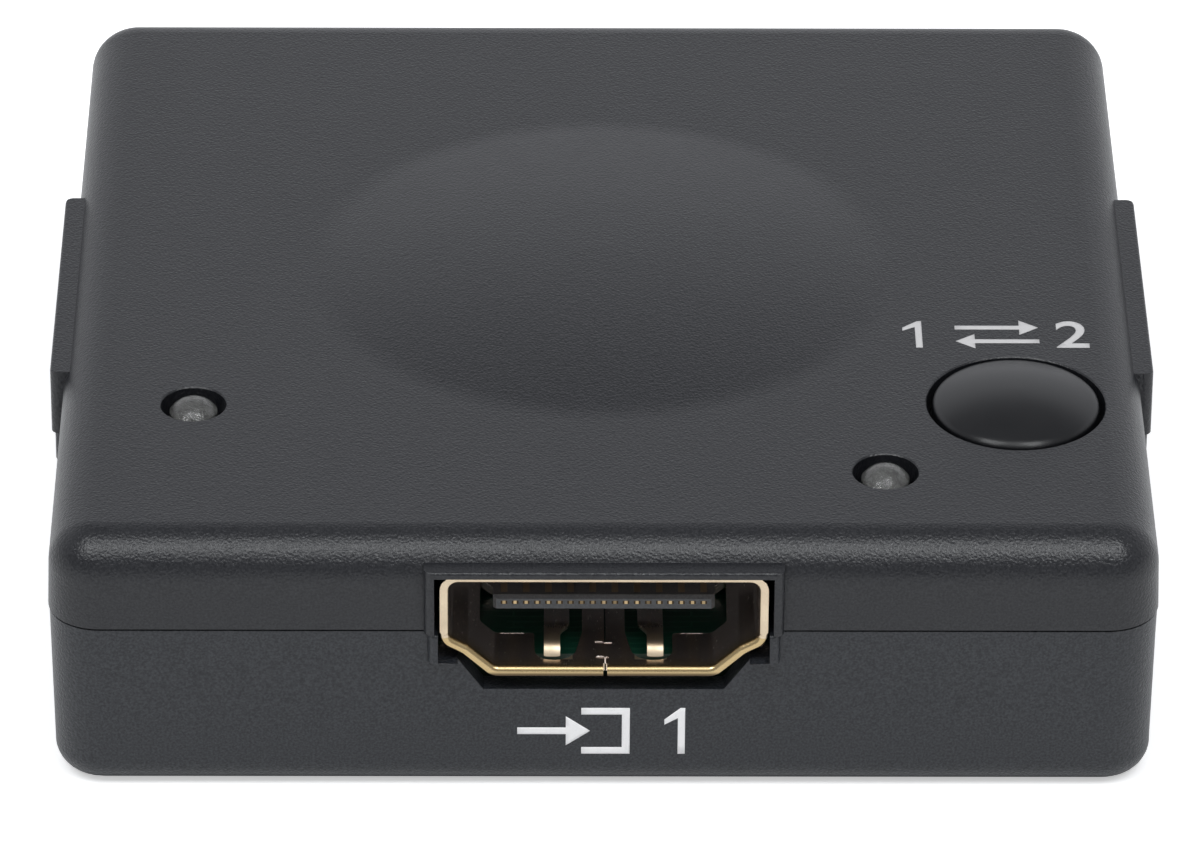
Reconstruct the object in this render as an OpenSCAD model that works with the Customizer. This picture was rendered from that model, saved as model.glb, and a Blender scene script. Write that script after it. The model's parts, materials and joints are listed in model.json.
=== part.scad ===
// Two-input video switch box: a flat two-piece plastic case with a socket on three
// sides, a domed select button and two indicator lamps on a circuit board inside.
// +X right, +Y back, +Z up. The origin is the middle of the underside.

/* [Case] */
// Width of the case at the parting line
case_w = 50.2; // [47:0.1:64]
// Depth of the case at the parting line
case_d = 50; // [47:0.1:64]
// Thickness of walls, floor and top
wall = 1.2; // [1.1:0.1:1.8]
// Radius of the upright corners
corner_r = 2.4; // [2.2:0.1:4]
// Radius of the rounded top edge
top_edge_r = 2.1; // [0.8:0.1:2.1]
// Radius of the rounded bottom edge
bottom_edge_r = 1.4; // [0.4:0.1:1.8]
// Lean of the top cover's walls, in degrees
top_draft = 1.8; // [0:0.1:2.5]
// Lean of the bottom cover's walls, in degrees
low_draft = 0.8; // [0:0.1:1.5]
// How far the bottom cover stands back from the top cover
parting_step = 0.05; // [0:0.01:0.2]
// Width of the line between the covers
parting_gap = 0.1; // [0.02:0.01:0.1]
// Height of the parting line above the circuit board
parting_above_board = 2.3; // [1.6:0.05:3]
// Free height between the socket shells and the underside of the top
head_room = 0.2; // [0.1:0.05:4]
// Radial size of the broken edge round each hole in the top
hole_edge = 0.06; // [0.03:0.01:0.2]

/* [Parting lip] */
// Thickness of the lip that locates the covers
lip_t = 0.5; // [0.3:0.05:0.6]
// Height of the lip
lip_h = 0.8; // [0.5:0.1:1.4]
// Clearance round the lip
lip_gap = 0.08; // [0.04:0.01:0.15]

/* [Dome] */
// Diameter of the raised dome on the top
dome_d = 26.6; // [16:0.2:28]
// Height of the dome above the flat of the top
dome_rise = 0.9; // [0.3:0.05:1.4]
// Radius of the soft blend round the dome
dome_blend_r = 9; // [2:0.5:12]

/* [Sockets] */
// Width of the socket mouth
port_w = 14; // [13:0.1:15]
// Height of the socket mouth
port_h = 4.55; // [4.3:0.05:5]
// Width of the flat floor of the mouth
port_floor_w = 9.8; // [9:0.1:10.6]
// Width of the mouth at the knee of its lower corners
port_knee_w = 12.24; // [11.6:0.02:12.6]
// Height of the knee above the floor of the mouth
port_knee_h = 1.12; // [0.8:0.02:1.3]
// Height where the straight sides begin
port_side_h = 1.6; // [1.45:0.05:1.9]
// Radius of the corners of the mouth
port_corner_r = 0.45; // [0.2:0.05:0.6]
// Sheet thickness of the socket shell
shell_t = 0.35; // [0.25:0.05:0.45]
// Length of the socket shell
shell_depth = 10; // [9:0.1:11]
// Distance from the face of the port boss back to the mouth
port_setback = 0.4; // [0.1:0.05:0.8]
// Width of a solder leg of the shell
leg_w = 1.2; // [0.8:0.1:1.6]
// How far the solder legs and leads reach below the board
leg_below = 0.7; // [0.4:0.1:1.2]

/* [Shell springs] */
// Distance of each spring from the middle of the shell
spring_x = 2.12; // [1.9:0.02:2.4]
// Width of a spring at its root
spring_root_w = 1.16; // [0.9:0.02:1.3]
// Width of a spring at its tip
spring_tip_w = 0.76; // [0.5:0.02:0.9]
// Distance from the mouth to the tip of a spring
spring_tip_y = 0.9; // [0.8:0.05:1.3]
// Distance from the mouth to the contact bump of a spring
spring_bump_y = 1.9; // [1.6:0.1:2.6]
// Distance from the mouth to the root of a spring
spring_root_y = 6.6; // [5.5:0.1:6.8]
// Height of the contact bump
spring_bump_h = 0.42; // [0.2:0.02:0.6]
// Sheet thickness of a spring
spring_t = 0.22; // [0.15:0.01:0.25]
// Width of the window round a spring
spring_window_w = 2; // [1.8:0.05:2.2]
// Width of the solid strip of floor in front of the windows
floor_strip = 0.7; // [0.4:0.05:0.75]
// Distance from the mouth to the open part of the floor
floor_open_y = 2.95; // [2.4:0.05:4]
// Distance from the middle to the edge of the open part of the floor
floor_open_x = 5.6; // [5.2:0.05:6]
// Width of the seam in the middle of the floor
seam_w = 0.07; // [0.04:0.01:0.12]

/* [Socket tongue] */
// Width of the contact tongue
tongue_w = 10; // [9.6:0.1:10.4]
// Thickness of the contact tongue
tongue_t = 0.66; // [0.6:0.02:1]
// Height of the tongue above the floor of the mouth
tongue_above_floor = 2.24; // [1.9:0.02:2.4]
// Distance from the mouth to the tip of the tongue
tongue_setback = 1.5; // [1.2:0.1:2]
// Broken edge at the top and the ends of the tongue's tip
tongue_chamfer = 0.15; // [0.05:0.01:0.2]
// Depth of the block that carries the tongue
block_depth = 3; // [2:0.1:3.2]
// Clearance of the block in the shell
block_gap = 0.05; // [0.02:0.01:0.1]
// Contacts in the upper row
upper_contacts = 10; // [6:1:10]
// Spacing of the contacts in a row
contact_pitch = 1; // [0.8:0.05:1]
// Width of a contact
contact_w = 0.3; // [0.2:0.02:0.36]
// Sheet thickness of a contact
contact_t = 0.15; // [0.1:0.01:0.18]
// Length of the solder foot of a contact
contact_foot = 0.9; // [0.5:0.1:1.2]

/* [Port bosses] */
// Width of the raised boss round each socket
boss_w = 16.2; // [15.8:0.1:18]
// Height of the boss out of its wall
boss_rise = 0.55; // [0.4:0.05:0.9]
// Distance of the boss below the flat of the top
boss_drop = 1; // [0.8:0.05:1.2]
// Radius of the upright edges of the boss
boss_end_r = 0.4; // [0.2:0.05:0.4]
// Radius of the top edge of the boss
boss_edge_r = 0.14; // [0.05:0.01:0.3]
// How far the lower half of the boss stands back from the upper half
boss_step = 0.15; // [0.05:0.01:0.25]
// Height of the lower half of the boss
boss_low_h = 1.6; // [1:0.05:1.65]
// Side clearance of the cut-out in the top cover round a shell
cut_side_gap = 0.28; // [0.1:0.02:0.4]
// Top clearance of the cut-out over a shell
cut_top_gap = 0.07; // [0.04:0.01:0.15]
// Side clearance of the cut-out in the bottom cover round a shell
cut_low_gap = 0.12; // [0.08:0.01:0.25]
// Depth of the cut-out below a shell
cut_drop = 0.93; // [0.3:0.01:1.2]

/* [Select button] */
// Distance of the button from the right wall
button_from_side = 6.1; // [5.8:0.1:7]
// Distance of the button from the front wall
button_from_front = 12.6; // [11.8:0.1:12.8]
// Diameter of the button
button_d = 7.7; // [6:0.1:7.8]
// Clearance round the button
button_gap = 0.27; // [0.1:0.01:0.4]
// Height of the button's crown above the flat of the top
button_rise = 0.77; // [0.5:0.01:1]
// Height of the button's crown above its widest line
button_crown_h = 0.95; // [0.7:0.01:1.2]
// Radius of the button's rounded edge
button_edge_r = 0.3; // [0.3:0.05:0.6]
// Length of the ears that hold the button under the top
button_ear_l = 0.6; // [0.3:0.05:0.7]
// Thickness of the ears
button_ear_t = 0.7; // [0.5:0.05:0.8]
// Wall thickness of the hollow button
button_wall = 1.2; // [0.8:0.1:1.4]
// Diameter of the post that presses the switch
button_post_d = 2.6; // [1.8:0.1:3]
// Travel of the button
button_travel = 0.25; // [0.15:0.05:0.3]
// Play above the ears and under the post
button_play = 0.05; // [0.02:0.01:0.1]

/* [Tact switch] */
// Side of the square switch body
tact_w = 6; // [5:0.1:6.2]
// Height of the switch body without its cover plate
tact_body_h = 3.3; // [2.8:0.1:3.4]
// Thickness of the cover plate
tact_plate_t = 0.25; // [0.15:0.05:0.3]
// Height of the plunger's top above the board
tact_h = 4.3; // [4.1:0.05:4.5]
// Diameter of the plunger
tact_plunger_d = 3.5; // [3:0.1:3.8]
// Running clearance of the plunger
tact_gap = 0.08; // [0.03:0.01:0.1]
// Diameter of the hollow in the switch body
tact_hollow_d = 4.8; // [4.6:0.1:5]
// Thickness of the floor of the switch body
tact_floor = 1.1; // [0.8:0.1:1.3]
// Height of the snap dome
snap_h = 0.5; // [0.35:0.05:0.6]
// Sheet thickness of the snap dome
snap_t = 0.08; // [0.05:0.01:0.1]
// Diameter of the rivet pegs on the switch body
tact_peg_d = 0.8; // [0.6:0.1:0.9]
// Width of a switch terminal
terminal_w = 0.7; // [0.5:0.05:0.9]
// Sheet thickness of a switch terminal
terminal_t = 0.25; // [0.2:0.05:0.3]
// Spacing of the terminals along one side
terminal_pitch = 4.5; // [4:0.1:4.8]

/* [Indicator lamps] */
// Diameter of the lamp holes in the top
lamp_hole_d = 3; // [2.6:0.1:3.4]
// Diameter of the lamp's domed tower
lamp_d = 2.2; // [1.8:0.1:2.4]
// Radius of the tower's domed end
lamp_dome_r = 1.3; // [1.2:0.05:1.6]
// Height of the lamp's tip above the flat of the top
lamp_proud = 0.25; // [0:0.05:0.5]
// Height of the tower
lamp_tower_h = 2.3; // [2:0.1:2.6]
// Diameter of the lamp's base
lamp_base_d = 2.9; // [2.6:0.1:3.2]
// Height of the lamp's base
lamp_base_h = 2.2; // [1.6:0.1:2.6]
// Distance of the left lamp from the left wall
left_lamp_from_side = 6.3; // [5.5:0.1:9]
// Distance of the left lamp from the front wall
left_lamp_from_front = 12.4; // [9:0.1:13]
// Distance of the right lamp from the right wall
right_lamp_from_side = 12.3; // [11.6:0.1:14]
// Distance of the right lamp from the front wall
right_lamp_from_front = 6.6; // [5:0.1:7]
// Spacing of the two leads of a lamp
lead_pitch = 1.27; // [1.1:0.01:1.5]
// Side of a square lead
lead_w = 0.45; // [0.3:0.05:0.5]

/* [Circuit board] */
// Thickness of the board
board_t = 1.6; // [1:0.1:1.6]
// Gap between the board and the walls
board_gap = 0.4; // [0.2:0.05:0.8]
// Radius of the board's corners
board_corner_r = 1.2; // [0.5:0.1:2]
// Clearance of legs and leads in their holes in the board
hole_gap = 0.12; // [0.05:0.01:0.2]
// Side of the square switching chip
chip_w = 10; // [7:0.5:12]
// Thickness of the chip
chip_t = 1; // [0.8:0.1:1.4]
// Distance of the chip behind the middle of the case
chip_back = 4; // [2:0.5:6]
// Pins along one side of the chip
chip_pins = 16; // [8:2:16]
// Spacing of the chip's pins
chip_pitch = 0.5; // [0.4:0.05:0.55]
// Length of a chip capacitor or resistor
passive_l = 1.6; // [1:0.1:2]
// Width of a chip capacitor or resistor
passive_w = 0.8; // [0.5:0.1:1]

/* [Screws] */
// Distance of the screw posts from the walls' outsides
post_inset = 4.2; // [4:0.1:5]
// Height of the posts that carry the board above the floor
post_h = 3.55; // [2.4:0.05:4.5]
// Diameter of the posts in the bottom cover
low_post_d = 5.8; // [5.4:0.1:6]
// Diameter of the posts in the top cover
top_post_d = 4.6; // [4:0.1:4.8]
// Diameter of the screw shank
screw_d = 2.2; // [1.8:0.1:2.4]
// Diameter of the screw head
screw_head_d = 3.8; // [3.2:0.1:4]
// Height of the screw head
screw_head_h = 1.4; // [1:0.1:1.6]
// Depth of the screw heads below the underside
screw_sink = 0.5; // [0.2:0.1:0.8]
// Length of screw in the top post
screw_bite = 4; // [2.5:0.1:4.2]
// Clearance round the screws
screw_gap = 0.15; // [0.1:0.01:0.25]
// Radial clearance of the shank in its formed thread
thread_gap = 0.02; // [0.01:0.01:0.03]

/* [Hidden] */

$fn = 64;
cut = 1;        // length that a cutting tool reaches past what it cuts
overlap = 0.2;  // length that two solids of one piece share
arc_steps = 6;  // flats along one rounded corner of a socket outline

// Heights above the underside
board_low = wall + post_h;
board_top = board_low + board_t;
parting = board_top + parting_above_board;
shell_w = port_w + 2 * shell_t;
shell_h = port_h + 2 * shell_t;
ceiling = board_top + shell_h + head_room;
case_h = ceiling + wall;

// Inside of the case
cavity_w = case_w - 2 * wall;
cavity_d = case_d - 2 * wall;
cavity_r = corner_r - wall;
low_w = case_w - 2 * parting_step;
low_d = case_d - 2 * parting_step;
low_corner_r = corner_r - parting_step;
low_h = parting - parting_gap;

// Dome: a ball under the top, blended into the flat by a ring
dome_r = dome_d / 2;
ball_r = (dome_r * dome_r + dome_rise * dome_rise) / (2 * dome_rise);
ball_z = case_h + dome_rise - ball_r;
blend_z = case_h + dome_blend_r;
blend_x = sqrt(pow(ball_r + dome_blend_r, 2) - pow(blend_z - ball_z, 2));
blend_share = ball_r / (ball_r + dome_blend_r);
blend_start = [blend_x * blend_share, ball_z + (blend_z - ball_z) * blend_share];

// Positions on the top
button_at = [case_w / 2 - button_from_side, -case_d / 2 + button_from_front];
left_lamp_at = [-case_w / 2 + left_lamp_from_side, -case_d / 2 + left_lamp_from_front];
right_lamp_at = [case_w / 2 - right_lamp_from_side, -case_d / 2 + right_lamp_from_front];
post_x = case_w / 2 - post_inset;
post_y = case_d / 2 - post_inset;
thread_spare = 0.5;     // thread hole beyond the screw

// Button
button_hole_d = button_d + 2 * button_gap;
button_rim_z = case_h + button_rise - button_crown_h;
ear_top = ceiling - button_play;
ear_d = button_hole_d + 2 * button_ear_l;
ear_w = button_hole_d + button_gap;
plunger_top = board_top + tact_h;
post_low = plunger_top + button_play;

// Socket details, in the frame of one socket: mouth at y = 0, board at z = 0
port_corners = [
    [port_w / 2, port_h], [-port_w / 2, port_h], [-port_w / 2, port_side_h],
    [-port_knee_w / 2, port_knee_h], [-port_floor_w / 2, 0], [port_floor_w / 2, 0],
    [port_knee_w / 2, port_knee_h], [port_w / 2, port_side_h]
];
floor_open_z = port_knee_h * (2 * floor_open_x - port_floor_w) / (port_knee_w - port_floor_w);
mouth_out = boss_rise - port_setback;        // mouth in front of the wall
board_edge_y = mouth_out + wall + board_gap; // edge of the board behind the mouth
leg_inset = 1.2;                             // from the board's edge and the shell's end to a leg
leg_ys = [board_edge_y + leg_inset, shell_depth - leg_inset - leg_w];
leg_x = port_w / 2 + shell_t / 2;
tongue_z = shell_t + tongue_above_floor;
block_out = 0.2;                             // block behind the end of the shell
block_end = shell_depth + block_out;
block_y = block_end - block_depth;
tongue_root = block_y + overlap;
shoulder_rise = 0.06;                        // shoulder of the lower cut-out above the lower boss
shoulder_fall = 0.05;                        // fall of the shoulder towards the shell
contact_pin_t = 0.16;
contact_tip = 0.35;                          // length of a contact's tip in the face of the tongue
contact_pin_z = tongue_z + (tongue_t - contact_pin_t) / 2;
contact_bend_y = tongue_setback + contact_tip;

// Switch
snap_gap = 0.2;
snap_d = tact_hollow_d - 2 * snap_gap;
flange_t = 0.6;
peg_proud = 0.12;
peg_gap = 0.03;
snap_ball_r = (snap_d * snap_d / 4 + snap_h * snap_h) / (2 * snap_h);
plunger_flange_d = tact_hollow_d - 4 * tact_gap;
terminal_x = tact_w / 2 + terminal_t / 2;

// Lamps
lamp_tip = case_h + lamp_proud;
lamp_base_top = lamp_tip - lamp_tower_h;
lamp_base_low = lamp_base_top - lamp_base_h;
lamp_cup_d = 1.1;
lamp_cup_h = 0.5;
lamp_pocket_gap = 0.02;
short_lead = 0.2;
long_lead = 0.5;

// Parts on the board
part_stand = 0.1;       // body above the board
row_gap = 4;            // chip to the rows of small parts
row_pitch = 2;
chip_pin_reach = 0.4;
chip_pin_foot = 0.7;
chip_pin_t = 0.14;
chip_pin_w = 0.22;
resistor_h = 0.5;
resistor_pitch = 1.6;
regulator_x = 9.5;
regulator_from_back = 6;
regulator_w = 3.5;
regulator_l = 6.5;
regulator_h = 1.6;
regulator_tab_w = 3;
regulator_pin_w = 0.7;
regulator_pin_gap = 2.3;
regulator_foot = 1.75;
regulator_foot_t = 0.3;

// Points of the arc that rounds corner p of an outline between its neighbours
function unit(v) = v / norm(v);
function corner_arc(before, p, after, r) =
    let (
        a = unit(before - p),
        b = unit(after - p),
        half = acos(a * b) / 2,
        centre = p + unit(a + b) * r / sin(half),
        from = p + a * r / tan(half) - centre,
        to = p + b * r / tan(half) - centre,
        start = atan2(from[1], from[0]),
        turn = (atan2(to[1], to[0]) - start + 540) % 360 - 180
    )
    [for (i = [0 : arc_steps])
        let (angle = start + turn * i / arc_steps) centre + r * [cos(angle), sin(angle)]];
function rounded(points, r) =
    let (n = len(points))
    [for (i = [0 : n - 1]) each corner_arc(points[(i + n - 1) % n], points[i], points[(i + 1) % n], r)];

// Slab with rounded upright corners, standing on z = 0
module slab(w, d, h, r) {
    for (sx = [-1, 1], sy = [-1, 1])
        translate([sx * (w / 2 - r), sy * (d / 2 - r), 0]) cylinder(h = h, r = r);
    translate([-w / 2 + r, -d / 2, 0]) cube([w - 2 * r, d, h]);
    translate([-w / 2, -d / 2 + r, 0]) cube([w, d - 2 * r, h]);
}

// Section through a moulded wall: `reach` thick at its foot on the parting line, leaning
// in by `lean` degrees and rounded off at height h
module wall_section(reach, h, edge, lean) {
    centre = [reach - (h - edge) * tan(lean) - edge / cos(lean), h - edge];
    touch = centre + edge * [cos(lean), sin(lean)];
    intersection() {
        union() {
            polygon([[0, 0], [reach, 0], touch, centre, [centre[0], h], [0, h]]);
            translate(centre) circle(edge);
        }
        square([reach, h]);
    }
}

// Moulded block: widest at z = 0, rounded at its far edge
module moulded_block(w, d, h, corner, edge, lean) {
    straight_w = w - 2 * corner;
    straight_d = d - 2 * corner;
    translate([-straight_w / 2, -straight_d / 2, 0]) cube([straight_w, straight_d, h]);
    for (i = [0 : 3]) {
        along = i % 2 == 0 ? straight_d : straight_w;
        across = i % 2 == 0 ? straight_w : straight_d;
        rotate(90 * i) {
            translate([across / 2, along / 2, 0]) rotate([90, 0, 0])
                linear_extrude(along) wall_section(corner, h, edge, lean);
            translate([across / 2, along / 2, 0])
                rotate_extrude(angle = 90) wall_section(corner, h, edge, lean);
        }
    }
}

// Ring that runs round the cavity from its wall outwards
module cavity_ring(t, h) {
    difference() {
        slab(cavity_w + 2 * t, cavity_d + 2 * t, h, cavity_r + t);
        translate([0, 0, -cut]) slab(cavity_w, cavity_d, h + 2 * cut, cavity_r);
    }
}

// The four screw posts
module at_posts() {
    for (sx = [-1, 1], sy = [-1, 1]) translate([sx * post_x, sy * post_y, 0]) children();
}

// Frame of one socket: mouth at y = 0 looking to -Y, board at z = 0
module at_port(side) {
    turn = side == "front" ? 0 : side == "left" ? -90 : 90;
    reach = side == "front" ? case_d / 2 : case_w / 2;
    rotate(turn) translate([0, -reach - mouth_out, board_top]) children();
}
module at_ports() {
    for (side = ["front", "left", "right"]) at_port(side) children();
}

// Boss round a socket between heights low and high above the board, `rise` out of the wall
module port_boss(low, high, rise, width) {
    plan_r = min(boss_end_r, rise);
    inner_y = mouth_out + wall / 2;
    face_y = mouth_out - rise;
    intersection() {
        translate([0, 0, low]) linear_extrude(high - low) {
            translate([-width / 2, face_y + plan_r]) square([width, inner_y - face_y - plan_r]);
            translate([-width / 2 + plan_r, face_y]) square([width - 2 * plan_r, plan_r + overlap]);
            for (s = [-1, 1]) translate([s * (width / 2 - plan_r), face_y + plan_r]) circle(plan_r);
        }
        rotate([90, 0, 90]) linear_extrude(width + cut, center = true) {
            translate([face_y + boss_edge_r, low - cut])
                square([inner_y - face_y - boss_edge_r, high - low + cut]);
            translate([face_y, low - cut]) square([boss_edge_r * 2, high - low + cut - boss_edge_r]);
            translate([face_y + boss_edge_r, high - boss_edge_r]) circle(boss_edge_r);
        }
    }
}

// Cut-outs for a socket shell through both covers
module upper_port_cut(low) {
    half = shell_w / 2 + cut_side_gap;
    translate([-half, mouth_out - boss_rise - cut, low])
        cube([2 * half, boss_rise + wall + lip_gap + 2 * cut, shell_h + cut_top_gap - low]);
}
module lower_port_cut() {
    side = shell_w / 2 + cut_low_gap;
    knee = port_knee_w / 2 + shell_t + cut_low_gap;
    floor_half = port_floor_w / 2 + shell_t + 1.5 * cut_low_gap;
    shoulder = parting_above_board - boss_low_h + shoulder_rise;
    step = shoulder - shoulder_fall;
    high = parting_above_board + cut;
    translate([0, mouth_out - boss_rise - cut, 0]) rotate([90, 0, 0]) mirror([0, 0, 1])
        linear_extrude(boss_rise + wall + 2 * cut)
            polygon([
                [side, high], [-side, high], [-side, shoulder], [-knee, step],
                [-floor_half, -cut_drop], [floor_half, -cut_drop],
                [knee, step], [side, shoulder]
            ]);
}

// Hole through the top with a broken upper edge
module top_hole(d) {
    translate([0, 0, ceiling - cut]) cylinder(h = wall + 2 * cut, d = d);
    translate([0, 0, case_h - hole_edge])
        cylinder(h = 2 * hole_edge, d1 = d, d2 = d + 4 * hole_edge);
}

module dome() {
    intersection() {
        translate([0, 0, ball_z]) sphere(ball_r, $fn = 200);
        translate([0, 0, case_h - wall / 4]) cylinder(h = dome_rise + wall, r = blend_start[0]);
    }
    rotate_extrude() difference() {
        inner = blend_start[0] - cut;
        low = case_h - wall / 4;
        polygon([
            [inner, low], [blend_x, low], [blend_x, case_h], blend_start, [inner, blend_start[1]]
        ]);
        translate([blend_x, blend_z]) circle(dome_blend_r, $fn = 200);
    }
}

module top_cover() color([0.2, 0.21, 0.22]) difference() {
    union() {
        difference() {
            union() {
                translate([0, 0, parting])
                    moulded_block(case_w, case_d, case_h - parting, corner_r, top_edge_r, top_draft);
                at_ports() port_boss(
                    parting_above_board, case_h - boss_drop - board_top, boss_rise, boss_w);
                dome();
            }
            translate([0, 0, parting - cut])
                slab(cavity_w, cavity_d, ceiling - parting + cut, cavity_r);
            translate([0, 0, parting - cut]) cavity_ring(lip_t + lip_gap, lip_h + lip_gap + cut);
            at_ports() upper_port_cut(parting_above_board - cut);
        }
        at_posts() translate([0, 0, board_top])
            cylinder(h = ceiling - board_top + wall / 4, d = top_post_d);
    }
    at_posts() translate([0, 0, board_top - cut])
        cylinder(h = screw_bite + thread_spare + cut, r = screw_d / 2 + thread_gap);
    translate(button_at) top_hole(button_hole_d);
    translate(left_lamp_at) top_hole(lamp_hole_d);
    translate(right_lamp_at) top_hole(lamp_hole_d);
}

module bottom_cover() color([0.2, 0.21, 0.22]) difference() {
    union() {
        difference() {
            union() {
                translate([0, 0, low_h]) mirror([0, 0, 1])
                    moulded_block(low_w, low_d, low_h, low_corner_r, bottom_edge_r, low_draft);
                at_ports() port_boss(
                    parting_above_board - boss_low_h, parting_above_board - parting_gap,
                    boss_rise - boss_step, boss_w - 2 * boss_step);
            }
            translate([0, 0, wall]) slab(cavity_w, cavity_d, low_h, cavity_r);
        }
        translate([0, 0, low_h - wall / 4])
            cavity_ring(lip_t, lip_h + parting_gap + wall / 4);
        at_posts() translate([0, 0, wall / 2]) cylinder(h = board_low - wall / 2, d = low_post_d);
    }
    at_ports() upper_port_cut(parting_above_board - parting_gap);
    at_ports() lower_port_cut();
    at_posts() {
        translate([0, 0, -cut])
            cylinder(h = screw_sink + screw_head_h + cut, r = screw_head_d / 2 + screw_gap);
        translate([0, 0, -cut]) cylinder(h = board_low + 2 * cut, r = screw_d / 2 + screw_gap);
    }
}

module case_screws() color([0.7, 0.71, 0.73]) at_posts() difference() {
    slot_w = 0.5;
    slot_l = 2;
    slot_depth = 0.8;
    union() {
        translate([0, 0, screw_sink]) cylinder(h = screw_head_h, d = screw_head_d);
        translate([0, 0, screw_sink])
            cylinder(h = board_top + screw_bite - screw_sink, d = screw_d);
    }
    for (turn = [0, 90]) rotate(turn)
        translate([-slot_l / 2, -slot_w / 2, screw_sink - cut]) cube([slot_l, slot_w, slot_depth + cut]);
}

// Socket shell
module port_outline() polygon(rounded(port_corners, port_corner_r));

// One contact spring of the shell floor, from its root back under the block to its tip
module shell_spring() {
    neck_front = spring_bump_y + 0.3;
    neck_back = spring_bump_y + 1.2;
    reach = spring_root_y + overlap;
    outer = spring_x + spring_root_w / 2;
    intersection() {
        rotate([90, 0, 90]) linear_extrude(port_floor_w, center = true) polygon([
            [reach, shell_t], [spring_root_y, shell_t],
            [spring_bump_y, shell_t + spring_bump_h], [spring_tip_y, shell_t],
            [spring_tip_y, shell_t - spring_t],
            [spring_bump_y, shell_t + spring_bump_h - spring_t],
            [spring_root_y, shell_t - spring_t], [reach, shell_t - spring_t]
        ]);
        translate([0, 0, -cut]) linear_extrude(shell_h) polygon([
            [outer, 0], [outer, reach], [outer - spring_root_w, reach],
            [outer - spring_root_w, neck_back], [outer - spring_tip_w, neck_front],
            [outer - spring_tip_w, 0]
        ]);
    }
}
module spring_window() {
    translate([spring_x - spring_window_w / 2, floor_strip, -cut])
        cube([spring_window_w, spring_root_y - floor_strip, shell_t + 2 * cut]);
}
module port_shell() color([0.62, 0.5, 0.34]) {
    difference() {
        translate([0, 0, shell_t]) rotate([90, 0, 0]) translate([0, 0, -shell_depth])
            linear_extrude(shell_depth) difference() {
                offset(r = shell_t) port_outline();
                port_outline();
            }
        for (s = [0, 1]) mirror([s, 0, 0]) {
            spring_window();
            translate([0, 0, shell_h]) mirror([0, 0, 1]) spring_window();
            translate([spring_x, floor_open_y, -cut]) cube([
                floor_open_x - spring_x, spring_root_y - floor_open_y, shell_t + floor_open_z + cut
            ]);
        }
        translate([-seam_w / 2, -cut, -cut]) cube([seam_w, spring_bump_y + cut, shell_t + 2 * cut]);
    }
    for (s = [0, 1]) mirror([s, 0, 0]) {
        shell_spring();
        translate([0, 0, shell_h]) mirror([0, 0, 1]) shell_spring();
        for (y = leg_ys) translate([leg_x - shell_t / 2, y, -board_t - leg_below])
            cube([shell_t, leg_w, board_t + leg_below + port_side_h + 3 * shell_t]);
    }
}

// Contacts of one socket: each runs along the tongue, out of the block and down to the board
module contact(x, z, low, high) {
    translate([x - contact_w / 2, 0, 0]) {
        translate([0, contact_bend_y, z])
            cube([contact_w, block_end + contact_t - contact_bend_y, contact_t]);
        translate([0, contact_bend_y, low]) cube([contact_w, contact_t, high - low]);
        translate([0, tongue_setback, contact_pin_z])
            cube([contact_w, contact_bend_y - tongue_setback + contact_t, contact_pin_t]);
        translate([0, block_end, 0]) cube([contact_w, contact_t, z + contact_t]);
        translate([0, block_end, 0]) cube([contact_w, contact_foot, contact_t]);
    }
}
module contact_set() {
    top_z = tongue_z + tongue_t - contact_t;
    first = -(upper_contacts - 1) / 2 * contact_pitch;
    for (i = [0 : upper_contacts - 1])
        contact(first + i * contact_pitch, top_z, contact_pin_z, top_z + contact_t);
    for (i = [0 : upper_contacts - 2])
        contact(first + (i + 0.5) * contact_pitch, tongue_z, tongue_z, contact_pin_z + contact_pin_t);
}
module port_contacts() color([0.83, 0.66, 0.3]) contact_set();

module port_tongue() color([0.16, 0.17, 0.18]) difference() {
    union() {
        translate([0, 0, shell_t]) rotate([90, 0, 0]) translate([0, 0, -block_end])
            linear_extrude(block_end - block_y) offset(r = -block_gap) port_outline();
        intersection() {
            rotate([90, 0, 90]) linear_extrude(tongue_w, center = true) polygon([
                [tongue_setback, tongue_z], [tongue_root, tongue_z],
                [tongue_root, tongue_z + tongue_t],
                [tongue_setback + tongue_chamfer, tongue_z + tongue_t],
                [tongue_setback, tongue_z + tongue_t - tongue_chamfer]
            ]);
            translate([0, 0, tongue_z - cut]) linear_extrude(tongue_t + 2 * cut) polygon([
                [tongue_w / 2, tongue_root], [-tongue_w / 2, tongue_root],
                [-tongue_w / 2, tongue_setback + tongue_chamfer],
                [-tongue_w / 2 + tongue_chamfer, tongue_setback],
                [tongue_w / 2 - tongue_chamfer, tongue_setback],
                [tongue_w / 2, tongue_setback + tongue_chamfer]
            ]);
        }
    }
    contact_set();
}

module circuit_board() color([0.05, 0.26, 0.15]) difference() {
    translate([0, 0, board_low])
        slab(cavity_w - 2 * board_gap, cavity_d - 2 * board_gap, board_t, board_corner_r);
    at_posts() translate([0, 0, board_low - cut])
        cylinder(h = board_t + 2 * cut, r = screw_d / 2 + screw_gap);
    at_ports() for (s = [0, 1], y = leg_ys) mirror([s, 0, 0])
        translate([leg_x - shell_t / 2 - hole_gap, y - hole_gap, -board_t - cut])
            cube([shell_t + 2 * hole_gap, leg_w + 2 * hole_gap, board_t + 2 * cut]);
    translate(button_at) for (sx = [-1, 1], sy = [-1, 1])
        translate([sx * terminal_x, sy * terminal_pitch / 2, board_low - cut])
            cylinder(h = board_t + 2 * cut, r = norm([terminal_t, terminal_w]) / 2 + hole_gap);
    for (at = [left_lamp_at, right_lamp_at], s = [-1, 1]) translate(at)
        translate([s * lead_pitch / 2, 0, board_low - cut])
            cylinder(h = board_t + 2 * cut, r = lead_w * sqrt(0.5) + hole_gap);
}

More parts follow.
